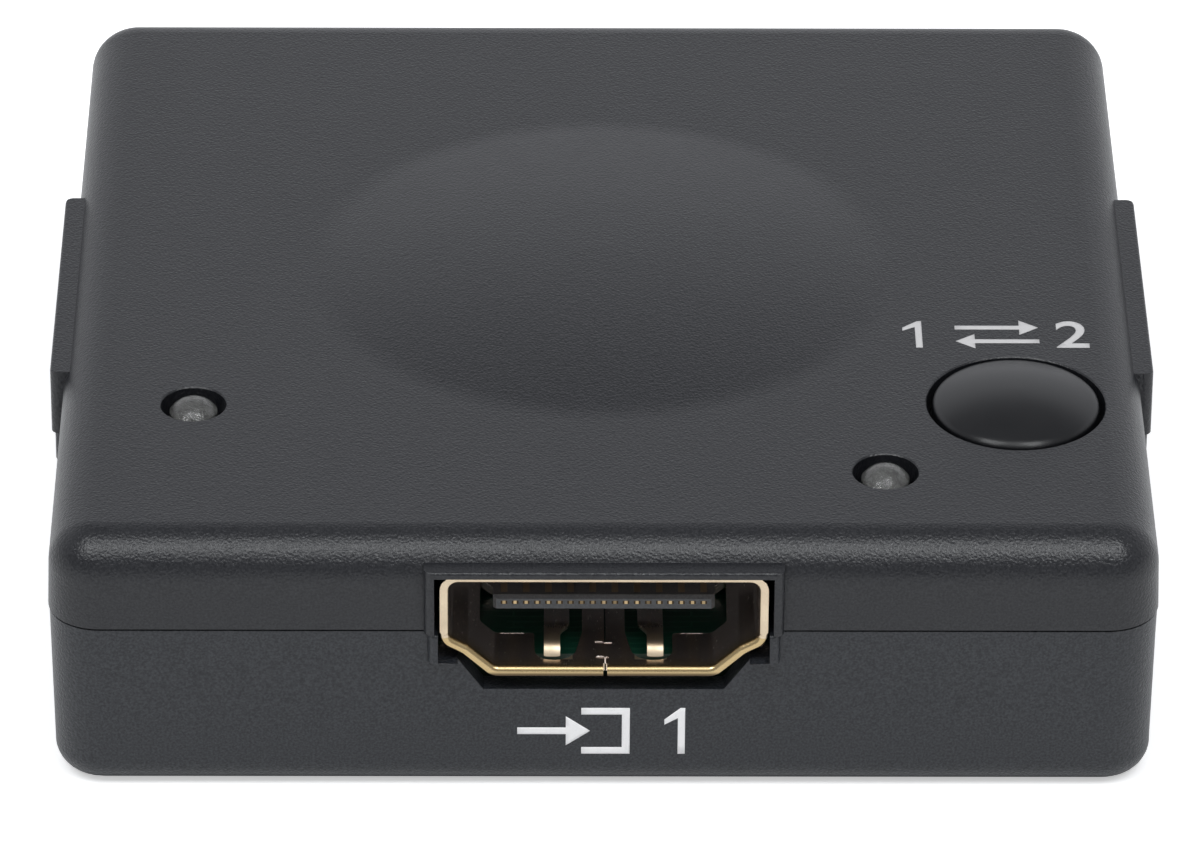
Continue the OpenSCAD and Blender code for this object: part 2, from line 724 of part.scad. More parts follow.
// Select button: a crowned cap with two ears under the top and a post on the switch
module button_section() {
    r = button_d / 2;
    arc_x = r - button_edge_r;
    crown_r = (arc_x * arc_x + button_crown_h * button_crown_h - button_edge_r * button_edge_r)
        / (2 * (button_crown_h - button_edge_r));
    arc_at = [arc_x, button_rim_z];
    crown_at = [0, button_rim_z + button_crown_h - crown_r];
    past_touch = arc_at + unit(arc_at - crown_at) * (button_edge_r + cut);
    translate([0, ear_top - button_ear_t]) square([r, button_rim_z - ear_top + button_ear_t]);
    intersection() {
        translate(arc_at) circle(button_edge_r);
        translate([0, button_rim_z - button_edge_r]) square([r, 2 * button_edge_r]);
    }
    intersection() {
        translate(crown_at) circle(crown_r, $fn = 200);
        polygon([[0, button_rim_z], arc_at, past_touch, [0, past_touch[1]]]);
    }
}
module select_button() color([0.1, 0.1, 0.11]) translate(button_at) {
    ear_low = ear_top - button_ear_t;
    cap_low = case_h + button_rise - button_wall - button_edge_r;
    difference() {
        union() {
            rotate_extrude() button_section();
            intersection() {
                translate([0, 0, ear_low]) cylinder(h = button_ear_t, d = ear_d);
                translate([-ear_w / 2, -ear_d, ear_low]) cube([ear_w, 2 * ear_d, button_ear_t]);
            }
        }
        translate([0, 0, ear_low - cut])
            cylinder(h = cap_low - ear_low + cut, r = button_d / 2 - button_wall);
    }
    translate([0, 0, post_low]) cylinder(h = cap_low + button_wall / 2 - post_low, d = button_post_d);
}

// Tact switch on the board under the button, in its own frame with the board at z = 0
module at_switch() translate([button_at[0], button_at[1], board_top]) children();
module at_pegs() {
    peg = tact_w / 2 - tact_peg_d;
    for (sx = [-1, 1], sy = [-1, 1]) translate([sx * peg, sy * peg, 0]) children();
}
module tact_base() color([0.12, 0.12, 0.13]) at_switch() {
    difference() {
        translate([-tact_w / 2, -tact_w / 2, 0]) cube([tact_w, tact_w, tact_body_h]);
        translate([0, 0, tact_floor]) cylinder(h = tact_body_h, d = tact_hollow_d);
    }
    at_pegs() translate([0, 0, tact_body_h - overlap])
        cylinder(h = overlap + tact_plate_t + peg_proud, d = tact_peg_d);
}
module tact_cover() color([0.72, 0.72, 0.74])
at_switch() translate([0, 0, tact_body_h]) difference() {
    translate([-tact_w / 2, -tact_w / 2, 0]) cube([tact_w, tact_w, tact_plate_t]);
    translate([0, 0, -cut]) cylinder(h = tact_plate_t + 2 * cut, d = tact_plunger_d + 2 * tact_gap);
    at_pegs() translate([0, 0, -cut])
        cylinder(h = tact_plate_t + 2 * cut, d = tact_peg_d + 2 * peg_gap);
}
module tact_plunger() color([0.15, 0.13, 0.12]) at_switch() {
    flange_top = tact_body_h - tact_gap / 2;
    flange_low = flange_top - flange_t;
    nub_low = tact_floor + snap_h + button_play / 2;
    translate([0, 0, flange_low]) cylinder(h = flange_top - flange_low, d = plunger_flange_d);
    translate([0, 0, flange_low]) cylinder(h = tact_h - flange_low, d = tact_plunger_d);
    translate([0, 0, nub_low]) cylinder(h = flange_low - nub_low + overlap, d = tact_plunger_d / 2);
}
module tact_snap_dome() color([0.8, 0.8, 0.78]) at_switch() difference() {
    ball_low = tact_floor + snap_h - snap_ball_r;
    intersection() {
        translate([0, 0, ball_low]) sphere(snap_ball_r, $fn = 240);
        translate([0, 0, tact_floor]) cylinder(h = snap_h, d = snap_d);
    }
    translate([0, 0, ball_low]) sphere(snap_ball_r - snap_t, $fn = 240);
}
module tact_terminals() color([0.75, 0.75, 0.77]) at_switch()
    for (sx = [-1, 1], sy = [-1, 1])
        translate([sx * terminal_x, sy * terminal_pitch / 2, -board_t - leg_below])
            translate([-terminal_t / 2, -terminal_w / 2, 0])
                cube([terminal_t, terminal_w, board_t + leg_below + tact_floor]);

// Indicator lamp: clear lens on two leads, with a cup for the die on one of them
module lamp_frame(grow) {
    low = board_low - leg_below;
    cup_low = lamp_tip - lamp_d;
    side = lead_w + 2 * grow;
    for (s = [-1, 1]) translate([s * lead_pitch / 2 - side / 2, -side / 2, low])
        cube([side, side, cup_low + (s < 0 ? short_lead : long_lead) - low + grow]);
    translate([-lead_pitch / 4, 0, cup_low - grow])
        cylinder(h = lamp_cup_h + 2 * grow, d = lamp_cup_d + 2 * grow);
}
module lamp_lens() color([0.8, 0.82, 0.8, 0.5]) difference() {
    union() {
        intersection() {
            translate([0, 0, lamp_base_top - overlap])
                cylinder(h = lamp_tower_h + 2 * overlap, d = lamp_d);
            union() {
                translate([0, 0, lamp_tip - lamp_dome_r]) sphere(lamp_dome_r);
                translate([0, 0, lamp_base_top - 2 * overlap])
                    cylinder(h = lamp_tower_h - lamp_dome_r + 2 * overlap, d = lamp_base_d);
            }
        }
        translate([0, 0, lamp_base_low]) cylinder(h = lamp_base_h, d = lamp_base_d);
    }
    lamp_frame(lamp_pocket_gap);
}
module lamp_leads() color([0.75, 0.75, 0.77]) lamp_frame(0);

// Parts soldered flat on the board, placed from the middle of the board
module on_board(x, y) translate([x, y, board_top]) children();
module passive(h) translate([-passive_l / 2, -passive_w / 2, 0]) cube([passive_l, passive_w, h]);
module switch_chip() color([0.08, 0.08, 0.09]) on_board(0, chip_back)
    translate([-chip_w / 2, -chip_w / 2, part_stand]) cube([chip_w, chip_w, chip_t]);
module chip_pin() {
    shoulder = part_stand + chip_t / 2;
    drop_x = chip_w / 2 + chip_pin_reach - chip_pin_t;
    translate([chip_w / 2, -chip_pin_w / 2, shoulder - chip_pin_t])
        cube([chip_pin_reach, chip_pin_w, chip_pin_t]);
    translate([drop_x, -chip_pin_w / 2, 0]) cube([chip_pin_t, chip_pin_w, shoulder]);
    translate([drop_x, -chip_pin_w / 2, 0]) cube([chip_pin_foot, chip_pin_w, chip_pin_t]);
}
module switch_chip_pins() color([0.75, 0.75, 0.77]) on_board(0, chip_back)
    for (side = [0 : 3], i = [0 : chip_pins - 1])
        rotate(90 * side) translate([0, (i - (chip_pins - 1) / 2) * chip_pitch, 0]) chip_pin();
module regulator() color([0.1, 0.1, 0.11])
on_board(regulator_x, cavity_d / 2 - regulator_from_back) {
    foot_l = regulator_foot + overlap;
    translate([-regulator_w / 2, -regulator_l / 2, part_stand])
        cube([regulator_w, regulator_l, regulator_h]);
    translate([-regulator_w / 2 - regulator_foot, -regulator_tab_w / 2, 0])
        cube([foot_l, regulator_tab_w, regulator_foot_t]);
    for (s = [-1, 0, 1])
        translate([regulator_w / 2 - overlap, s * regulator_pin_gap - regulator_pin_w / 2, 0])
            cube([foot_l, regulator_pin_w, regulator_foot_t]);
}
module chip_capacitors() color([0.6, 0.46, 0.33]) {
    row_y = chip_w / 2 + row_gap;
    for (i = [-3 : 3]) on_board(i * row_pitch, chip_back - row_y) rotate(90) passive(passive_w);
    for (i = [-2 : 2]) on_board(i * row_pitch, chip_back + row_y) rotate(90) passive(passive_w);
}
module chip_resistors() color([0.12, 0.12, 0.13])
    for (s = [-1, 1], i = [-3 : 3])
        on_board(s * (chip_w / 2 + row_gap), chip_back + i * resistor_pitch) passive(resistor_h);

top_cover();
bottom_cover();
case_screws();
circuit_board();
at_port("front") port_shell();  // front_port_shell
at_port("front") port_tongue();  // front_port_tongue
at_port("front") port_contacts();  // front_port_contacts
at_port("left") port_shell();  // left_port_shell
at_port("left") port_tongue();  // left_port_tongue
at_port("left") port_contacts();  // left_port_contacts
at_port("right") port_shell();  // right_port_shell
at_port("right") port_tongue();  // right_port_tongue
at_port("right") port_contacts();  // right_port_contacts
select_button();
tact_base();
tact_cover();
tact_plunger();
tact_snap_dome();
tact_terminals();
translate(left_lamp_at) lamp_lens();  // left_lamp_lens
translate(left_lamp_at) lamp_leads();  // left_lamp_leads
translate(right_lamp_at) lamp_lens();  // right_lamp_lens
translate(right_lamp_at) lamp_leads();  // right_lamp_leads
switch_chip();
switch_chip_pins();
regulator();
chip_capacitors();
chip_resistors();
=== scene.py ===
import json
import math

import bmesh
import bpy
from mathutils import Matrix, Vector


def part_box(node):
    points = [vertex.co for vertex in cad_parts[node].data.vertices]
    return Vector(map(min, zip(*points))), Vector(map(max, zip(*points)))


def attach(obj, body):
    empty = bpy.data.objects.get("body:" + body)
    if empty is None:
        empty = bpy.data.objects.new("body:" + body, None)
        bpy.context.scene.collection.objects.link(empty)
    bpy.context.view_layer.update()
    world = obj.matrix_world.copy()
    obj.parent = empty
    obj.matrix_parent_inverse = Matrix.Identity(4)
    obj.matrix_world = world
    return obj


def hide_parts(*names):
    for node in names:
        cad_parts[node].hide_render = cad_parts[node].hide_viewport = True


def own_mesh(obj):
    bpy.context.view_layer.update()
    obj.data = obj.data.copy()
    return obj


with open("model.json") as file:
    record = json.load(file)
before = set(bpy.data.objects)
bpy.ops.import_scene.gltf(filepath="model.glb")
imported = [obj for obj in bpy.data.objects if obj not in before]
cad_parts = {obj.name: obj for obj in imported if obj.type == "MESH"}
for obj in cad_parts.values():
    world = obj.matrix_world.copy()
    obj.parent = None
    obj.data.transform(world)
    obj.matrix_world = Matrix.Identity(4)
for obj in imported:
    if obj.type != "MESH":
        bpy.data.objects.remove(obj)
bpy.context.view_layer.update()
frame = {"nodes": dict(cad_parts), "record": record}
nodes = frame["nodes"]
mm = 0.001      # pieces are modelled in millimetres and brought to metres when they are finished
print("frame loaded:", len(nodes), "nodes")

# camera, fitted to the outlines of the case in the photograph
cameraFit = {
    "place": (-3.301, -352.436, 218.951),   # millimetres
    "tilt": 31.3715,                        # degrees below level
    "turn": 0.5362,                         # degrees to the right
    "roll": 0.3669,
    "lens": 259.51,
    "sensor": 36.0,
    "near": 0.01,                           # metres
}
cameraTurn = (
    Matrix.Rotation(-math.radians(cameraFit["turn"]), 3, "Z")
    @ Matrix.Rotation(math.radians(90 - cameraFit["tilt"]), 3, "X")
    @ Matrix.Rotation(math.radians(cameraFit["roll"]), 3, "Z")
)
bpy.ops.object.camera_add(location=Vector(cameraFit["place"]) * mm, rotation=cameraTurn.to_euler())
camera = bpy.context.object
camera.data.sensor_width = cameraFit["sensor"]
camera.data.lens = cameraFit["lens"]
camera.data.clip_start = cameraFit["near"]
bpy.context.scene.camera = camera
print("camera placed")


# small helpers for node trees
def addNode(tree, kind, inputs=None, **settings):
    node = tree.nodes.new(kind)
    for key, value in settings.items():
        setattr(node, key, value)
    for key, value in (inputs or {}).items():
        node.inputs[key].default_value = value
    return node


def startMaterial(name):
    material = bpy.data.materials.new(name)
    material.use_nodes = True
    tree = material.node_tree
    coords = addNode(tree, "ShaderNodeTexCoord")
    return material, tree, tree.nodes["Principled BSDF"], coords.outputs["Object"]


def addNoise(tree, coords, cell, detail=2.0, roughness=0.5):   # cell is the size of a blot in millimetres
    noise = addNode(tree, "ShaderNodeTexNoise", {"Scale": 1 / (cell * mm), "Detail": detail,
                                                 "Roughness": roughness})
    tree.links.new(coords, noise.inputs["Vector"])
    return noise.outputs["Fac"]


def addRamp(tree, value, stops):    # stops are (place, grey or colour)
    ramp = addNode(tree, "ShaderNodeValToRGB")
    elements = ramp.color_ramp.elements
    while len(elements) < len(stops):
        elements.new(0.5)
    for element, (place, tone) in zip(elements, stops):
        element.position = place
        element.color = (*tone, 1) if isinstance(tone, tuple) else (tone, tone, tone, 1)
    tree.links.new(value, ramp.inputs["Fac"])
    return ramp.outputs["Color"]


def addMath(tree, operation, first, second=None, third=None):
    node = addNode(tree, "ShaderNodeMath", operation=operation)
    for place, value in enumerate((first, second, third)):
        if value is None:
            continue
        if isinstance(value, (int, float)):
            node.inputs[place].default_value = value
        else:
            tree.links.new(value, node.inputs[place])
    return node.outputs["Value"]


def addMix(tree, share, first, second):     # colours, as sockets or as tuples
    mix = addNode(tree, "ShaderNodeMix", data_type="RGBA")
    tree.links.new(share, mix.inputs["Factor"])
    for name, value in (("A", first), ("B", second)):
        socket = [s for s in mix.inputs if s.name == name and s.type == "RGBA"][0]
        if isinstance(value, tuple):
            socket.default_value = (*value, 1)
        else:
            tree.links.new(value, socket)
    return [s for s in mix.outputs if s.type == "RGBA"][0]


def addBump(tree, height, depth, normal=None):      # depth in millimetres
    bump = addNode(tree, "ShaderNodeBump", {"Strength": 1.0, "Distance": depth * mm})
    tree.links.new(height, bump.inputs["Height"])
    if normal is not None:
        tree.links.new(normal, bump.inputs["Normal"])
    return bump.outputs["Normal"]


def addSoftEdge(tree, radius):      # normals of edges rounded by a radius in millimetres
    bevel = addNode(tree, "ShaderNodeBevel", {"Radius": radius * mm}, samples=6)
    return bevel.outputs["Normal"]


def addEdgeMask(tree, softNormal):      # 1 along the edges
    geometry = addNode(tree, "ShaderNodeNewGeometry")
    dot = addNode(tree, "ShaderNodeVectorMath", operation="DOT_PRODUCT")
    tree.links.new(softNormal, dot.inputs[0])
    tree.links.new(geometry.outputs["Normal"], dot.inputs[1])
    return addRamp(tree, dot.outputs["Value"], [(0.8, 1.0), (0.99, 0.0)])


def addLevelness(tree):     # 1 on level faces and 0 on upright ones
    geometry = addNode(tree, "ShaderNodeNewGeometry")
    parts = addNode(tree, "ShaderNodeSeparateXYZ")
    tree.links.new(geometry.outputs["Normal"], parts.inputs["Vector"])
    return addMath(tree, "ABSOLUTE", parts.outputs["Z"])


# case plastic: near-black, spark-textured, a little paler and smoother along its edges
casePlastic = {
    "dark": (0.0050, 0.0056, 0.0080),
    "pale": (0.0200, 0.0208, 0.0240),
    "worn": (0.024, 0.025, 0.028),
    "rough": (0.26, 0.33),
    "grain": 0.11,          # millimetres
    "grainDepth": 0.024,
    "speck": 1.3,           # times the grain
    "speckHigh": 0.6,
    "cloud": 2.6,           # millimetres
    "edge": 0.03,
    "wear": 0.8,
    "wearSmooth": 0.06,
}
# the bottom cover is a little paler and bluer, with softer edges
lowPlastic = dict(casePlastic, dark=(0.0050, 0.0064, 0.0096), pale=(0.0300, 0.0326, 0.0378), edge=0.06)


def makeCasePlastic(name, values):
    material, tree, shader, coords = startMaterial(name)
    softNormal = addSoftEdge(tree, values["edge"])
    edgeMask = addEdgeMask(tree, softNormal)
    fine = addNoise(tree, coords, values["grain"], detail=2.0, roughness=0.6)
    broad = addNoise(tree, coords, values["cloud"], detail=3.0)
    speck = addNode(tree, "ShaderNodeTexVoronoi", {"Scale": 1 / (values["grain"] * values["speck"] * mm)})
    tree.links.new(coords, speck.inputs["Vector"])
    tone = addMix(tree, addRamp(tree, fine, [(0.34, 0.0), (0.66, 1.0)]), values["dark"], values["pale"])
    wear = addMath(tree, "MULTIPLY", edgeMask, addMath(tree, "MULTIPLY", broad, values["wear"]))
    tree.links.new(addMix(tree, wear, tone, values["worn"]), shader.inputs["Base Color"])
    low, high = values["rough"]
    roughness = addMath(tree, "MULTIPLY_ADD", broad, high - low, low)
    roughness = addMath(tree, "MULTIPLY_ADD", wear, -values["wearSmooth"], roughness)
    tree.links.new(roughness, shader.inputs["Roughness"])
    height = addMath(tree, "MULTIPLY_ADD", speck.outputs["Distance"], values["speckHigh"], fine)
    tree.links.new(addBump(tree, height, values["grainDepth"], softNormal), shader.inputs["Normal"])
    return material


# button plastic: smooth and half glossy, with faint rub marks
buttonPlastic = {
    "dark": (0.0050, 0.0053, 0.0064),
    "pale": (0.0085, 0.0088, 0.0100),
    "rough": (0.20, 0.31),
    "edge": 0.45,           # millimetres
    "cloud": 1.4,
    "rub": 0.5, "rubStretch": (1, 7, 1), "rubTurn": 0.5, "rubShare": 0.4,
    "grain": 0.12, "grainDepth": 0.0012,
}


def makeButtonPlastic(values):
    material, tree, shader, coords = startMaterial("buttonPlastic")
    cloud = addNoise(tree, coords, values["cloud"], detail=4.0)
    stretch = addNode(tree, "ShaderNodeMapping", {"Scale": values["rubStretch"],
                                                  "Rotation": (0, 0, values["rubTurn"])})
    tree.links.new(coords, stretch.inputs["Vector"])
    rubs = addNoise(tree, stretch.outputs["Vector"], values["rub"], detail=4.0, roughness=0.7)
    tree.links.new(addMix(tree, cloud, values["dark"], values["pale"]), shader.inputs["Base Color"])
    low, high = values["rough"]
    mixed = addMath(tree, "MULTIPLY_ADD", rubs, values["rubShare"],
                    addMath(tree, "MULTIPLY", cloud, 1 - values["rubShare"]))
    tree.links.new(addMath(tree, "MULTIPLY_ADD", mixed, high - low, low), shader.inputs["Roughness"])
    grain = addNoise(tree, coords, values["grain"], detail=2.0)
    bump = addBump(tree, grain, values["grainDepth"], addSoftEdge(tree, values["edge"]))
    tree.links.new(bump, shader.inputs["Normal"])
    return material


# plated metals: gold on the shells, tin or zinc on the rest
metals = {
    "shellGold": {
        "base": (0.83, 0.69, 0.50), "dull": (0.62, 0.49, 0.35), "rough": (0.17, 0.32), "edge": 0.03,
        # painted light behind the rim: a paler, greyer gold lifts the shaded inside of the socket, but not on
        # the springs; painted shade along the lower rim: a deeper gold, in millimetres
        "inside": (0.96, 0.83, 0.75), "rim": (24.1, 24.9),
        "spring": (1.40, 2.85), "springDepth": (22.2, 23.4, 24.4), "springRough": 0.16,
        # painted shade: a deeper gold on the lower rim dims its highlight
        "cut": (0.64, 0.48, 0.25), "lowRimShadeReach": 24.85, "lowRimShadeHigh": 8.3,
        # painted shadow: the lower rim darkens to a near-black brown at its foot
        "lowRimShadow": (0.14, 0.10, 0.06), "lowRimShadowHigh": (6.36, 6.50),     # under the rim
    },
    "platedSteel": {
        "base": (0.62, 0.62, 0.64), "dull": (0.44, 0.44, 0.46), "rough": (0.26, 0.45), "edge": 0.05,
    },
}
# marks of the rolled sheet, on every metal
metalMarks = {
    "cloud": 1.1, "line": 0.4, "depth": 0.002,      # millimetres
    "stretch": (9, 1.2, 9), "lineShare": 0.35, "bare": 0.6,
}


def addShare(tree, value, start, end):      # 0 at the start and 1 at the end, in millimetres
    offset = addMath(tree, "SUBTRACT", value, start * mm)
    return addRamp(tree, addMath(tree, "DIVIDE", offset, (end - start) * mm), [(0.0, 0.0), (1.0, 1.0)])


def addShellTones(tree, coords, values, tone):
    place = addNode(tree, "ShaderNodeSeparateXYZ")
    tree.links.new(coords, place.inputs["Vector"])
    sides = [addMath(tree, "ABSOLUTE", place.outputs[axis]) for axis in ("X", "Y")]
    reach = addMath(tree, "MAXIMUM", *sides)        # towards the mouth, on all three sockets
    across = addMath(tree, "MINIMUM", *sides)
    rim = addShare(tree, reach, *values["rim"])
    left, right = values["spring"]
    offset = addMath(tree, "ABSOLUTE", addMath(tree, "SUBTRACT", across, (left + right) / 2 * mm))
    back, middle, front = values["springDepth"]
    spring = addMath(tree, "MULTIPLY", addMath(tree, "LESS_THAN", offset, (right - left) / 2 * mm),
                     addMath(tree, "LESS_THAN", reach, front * mm))
    spring = addMath(tree, "MULTIPLY", spring, addShare(tree, reach, back, middle))
    # painted light: the paler inside tone lies behind the rim, but not on the springs
    tone = addMix(tree, addMath(tree, "MAXIMUM", rim, spring), values["inside"], tone)
    # painted shade on the lower rim, near the mouth and below the knee, with a painted shadow at its foot
    cut = addMath(tree, "MULTIPLY", addMath(tree, "GREATER_THAN", reach, values["lowRimShadeReach"] * mm),
                  addMath(tree, "LESS_THAN", place.outputs["Z"], values["lowRimShadeHigh"] * mm))
    # painted shadow at the foot of the lower rim, fading up into the painted shade
    low, high = values["lowRimShadowHigh"]
    bare = addMix(tree, addShare(tree, place.outputs["Z"], low, high), values["lowRimShadow"], values["cut"])
    return addMix(tree, cut, tone, bare), spring


def makeMetal(name, values):
    material, tree, shader, coords = startMaterial(name)
    shader.inputs["Metallic"].default_value = 1.0
    softNormal = addSoftEdge(tree, values["edge"])
    edgeMask = addEdgeMask(tree, softNormal)
    cloud = addNoise(tree, coords, metalMarks["cloud"], detail=4.0)
    drawn = addNode(tree, "ShaderNodeMapping", {"Scale": metalMarks["stretch"]})
    tree.links.new(coords, drawn.inputs["Vector"])
    lines = addNoise(tree, drawn.outputs["Vector"], metalMarks["line"], detail=3.0, roughness=0.65)
    mixed = addMath(tree, "MULTIPLY_ADD", lines, metalMarks["lineShare"],
                    addMath(tree, "MULTIPLY", cloud, 1 - metalMarks["lineShare"]))
    tarnish = addRamp(tree, mixed, [(0.35, values["base"]), (0.75, values["dull"])])
    bare = addMath(tree, "MULTIPLY", edgeMask, metalMarks["bare"])
    tone = addMix(tree, bare, tarnish, values["base"])
    low, high = values["rough"]
    roughness = addMath(tree, "MULTIPLY_ADD", lines, high - low, low)
    if "inside" in values:
        tone, spring = addShellTones(tree, coords, values, tone)
        roughness = addMath(tree, "MULTIPLY_ADD", spring, values["springRough"], roughness)
    tree.links.new(tone, shader.inputs["Base Color"])
    tree.links.new(roughness, shader.inputs["Roughness"])
    tree.links.new(addBump(tree, lines, metalMarks["depth"], softNormal), shader.inputs["Normal"])
    return material


# contacts: a painted glint of bright gold along the middle of each, stronger on some than on others, over
# painted shade: near-black gold elsewhere, and dull brown, half-metal level faces
contactGold = {
    "glintGold": (0.66, 0.48, 0.26), "dark": (0.050, 0.036, 0.022), "flat": (0.20, 0.15, 0.105),
    "pitch": 0.5, "track": 0.11, "grime": 0.15, "grimeDepth": 0.003,        # millimetres
    "fade": 1.5, "glintLeast": 0.25, "flatMetal": 0.5, "rough": (0.22, 0.42),
}


def makeContactGold(name, values, axis):
    material, tree, shader, coords = startMaterial(name)
    place = addNode(tree, "ShaderNodeSeparateXYZ")
    tree.links.new(coords, place.inputs["Vector"])
    count = addMath(tree, "DIVIDE", place.outputs[axis], values["pitch"] * mm)
    nearest = addMath(tree, "ROUND", count)
    offset = addMath(tree, "ABSOLUTE", addMath(tree, "SUBTRACT", count, nearest))
    half = values["track"] / values["pitch"] / 2
    # painted glint: a narrow strip along the middle of each contact, its strength picked at random per
    # contact
    track = addRamp(tree, offset, [(half, 1.0), (half * values["fade"], 0.0)])
    chance = addNode(tree, "ShaderNodeTexWhiteNoise", noise_dimensions="1D")
    tree.links.new(nearest, chance.inputs["W"])
    least = values["glintLeast"]
    wear = addMath(tree, "MULTIPLY_ADD", chance.outputs["Value"], 1 - least, least)
    worn = addMath(tree, "MULTIPLY", track, wear)
    grime = addNoise(tree, coords, values["grime"], detail=3.0)
    tone = addMix(tree, worn, values["dark"], values["glintGold"])
    # painted shade: level faces take a dull brown and are only half metal
    lying = addMath(tree, "GREATER_THAN", addLevelness(tree), 0.9)
    tree.links.new(addMix(tree, lying, tone, values["flat"]), shader.inputs["Base Color"])
    metallic = addMath(tree, "MULTIPLY_ADD", lying, values["flatMetal"] - 1, 1.0)
    tree.links.new(metallic, shader.inputs["Metallic"])
    low, high = values["rough"]
    tree.links.new(addMath(tree, "MULTIPLY_ADD", grime, high - low, low), shader.inputs["Roughness"])
    tree.links.new(addBump(tree, grime, values["grimeDepth"]), shader.inputs["Normal"])
    return material


# moulded insulators and chip bodies, with the pale flecks of their filler
moulded = {
    "tonguePlastic": {"dark": (0.054, 0.058, 0.064), "pale": (0.088, 0.093, 0.101),
                      "rough": 0.48, "fleck": 0.10},
    "chipPlastic": {"dark": (0.010, 0.010, 0.011), "pale": (0.022, 0.022, 0.023),
                    "rough": 0.55, "fleck": 0.08},
    "ceramicTan": {"dark": (0.26, 0.165, 0.085), "pale": (0.38, 0.26, 0.15),
                   "rough": 0.5, "fleck": 0.12},
}
mouldMarks = {"edge": 0.03, "edgePale": 0.5, "roughRange": 0.16, "depth": 0.004}    # on all of them


def makeMoulded(name, values):
    material, tree, shader, coords = startMaterial(name)
    softNormal = addSoftEdge(tree, mouldMarks["edge"])
    flecks = addNoise(tree, coords, values["fleck"], detail=3.0, roughness=0.7)
    tone = addMix(tree, addRamp(tree, flecks, [(0.4, 0.0), (0.7, 1.0)]), values["dark"], values["pale"])
    edges = addMath(tree, "MULTIPLY", addEdgeMask(tree, softNormal), mouldMarks["edgePale"])
    tree.links.new(addMix(tree, edges, tone, values["pale"]), shader.inputs["Base Color"])
    spread = mouldMarks["roughRange"]
    roughness = addMath(tree, "MULTIPLY_ADD", flecks, spread, values["rough"] - spread / 2)
    tree.links.new(roughness, shader.inputs["Roughness"])
    tree.links.new(addBump(tree, flecks, mouldMarks["depth"], softNormal), shader.inputs["Normal"])
    return material


# circuit board: green resist over copper runs, with a bare laminate edge
boardGreen = {
    "resist": (0.005, 0.046, 0.027),
    "overCopper": (0.009, 0.072, 0.041),
    "laminate": (0.014, 0.030, 0.018),
    "runPitch": 0.9, "runDepth": 0.02, "cloud": 1.8,    # millimetres
    "rough": (0.25, 0.40),
}


def makeBoardGreen(values):
    material, tree, shader, coords = startMaterial("boardGreen")
    runs = addNode(tree, "ShaderNodeTexBrick", {
        "Scale": 1 / (values["runPitch"] * mm), "Mortar Size": 0.06, "Mortar Smooth": 0.2,
        "Brick Width": 4.5, "Row Height": 0.5, "Color1": (0, 0, 0, 1), "Color2": (0, 0, 0, 1),
        "Mortar": (1, 1, 1, 1)})
    tree.links.new(coords, runs.inputs["Vector"])
    cloud = addNoise(tree, coords, values["cloud"], detail=3.0)
    copper = addMath(tree, "MULTIPLY", runs.outputs["Color"], addRamp(tree, cloud, [(0.42, 0.0), (0.5, 1.0)]))
    resist = addMix(tree, copper, values["resist"], values["overCopper"])
    edge = addMath(tree, "LESS_THAN", addLevelness(tree), 0.5)
    tree.links.new(addMix(tree, edge, resist, values["laminate"]), shader.inputs["Base Color"])
    low, high = values["rough"]
    tree.links.new(addMath(tree, "MULTIPLY_ADD", cloud, high - low, low), shader.inputs["Roughness"])
    tree.links.new(addBump(tree, copper, values["runDepth"]), shader.inputs["Normal"])
    return material


# clear lamp lens: a little milky, with the ripples of its mould
lampClear = {
    "pale": (0.92, 0.92, 0.89), "deep": (0.42, 0.42, 0.41), "rough": (0.0, 0.34),
    "ripple": 0.26, "rippleDepth": 0.05, "fleck": 0.10,     # millimetres
    "fleckShare": 0.4, "clear": 0.90, "bend": 1.5,
}


def makeLampClear(values):
    material, tree, shader, coords = startMaterial("lampClear")
    shader.inputs["Transmission Weight"].default_value = values["clear"]
    shader.inputs["IOR"].default_value = values["bend"]
    cloud = addNoise(tree, coords, values["ripple"], detail=3.0, roughness=0.6)
    low, high = values["rough"]
    tree.links.new(addMath(tree, "MULTIPLY_ADD", cloud, high - low, low), shader.inputs["Roughness"])
    fleck = addNoise(tree, coords, values["fleck"], detail=2.0, roughness=0.6)
    mottle = addMath(tree, "MULTIPLY_ADD", fleck, values["fleckShare"],
                     addMath(tree, "MULTIPLY", cloud, 1 - values["fleckShare"]))
    tone = addMix(tree, addRamp(tree, mottle, [(0.42, 0.0), (0.60, 1.0)]), values["pale"], values["deep"])
    tree.links.new(tone, shader.inputs["Base Color"])
    tree.links.new(addBump(tree, mottle, values["rippleDepth"]), shader.inputs["Normal"])
    return material


# white print, with the thin spots of a pad print
printWhite = {"full": (0.90, 0.89, 0.89), "thin": (0.80, 0.80, 0.80)}
# painted shade: the print on the top is the same white, made darker
topWhiteShaded = {"full": (0.59, 0.58, 0.58), "thin": (0.50, 0.50, 0.50)}
printSpots = {"cell": 0.14, "depth": 0.003, "rough": (0.45, 0.65)}      # cell and depth in millimetres


def makePrintWhite(name, values):
    material, tree, shader, coords = startMaterial(name)
    spots = addNoise(tree, coords, printSpots["cell"], detail=3.0, roughness=0.6)
    share = addRamp(tree, spots, [(0.55, 0.0), (0.8, 1.0)])
    tree.links.new(addMix(tree, share, values["full"], values["thin"]), shader.inputs["Base Color"])
    low, high = printSpots["rough"]
    tree.links.new(addMath(tree, "MULTIPLY_ADD", spots, high - low, low), shader.inputs["Roughness"])
    tree.links.new(addBump(tree, spots, printSpots["depth"]), shader.inputs["Normal"])
    return material


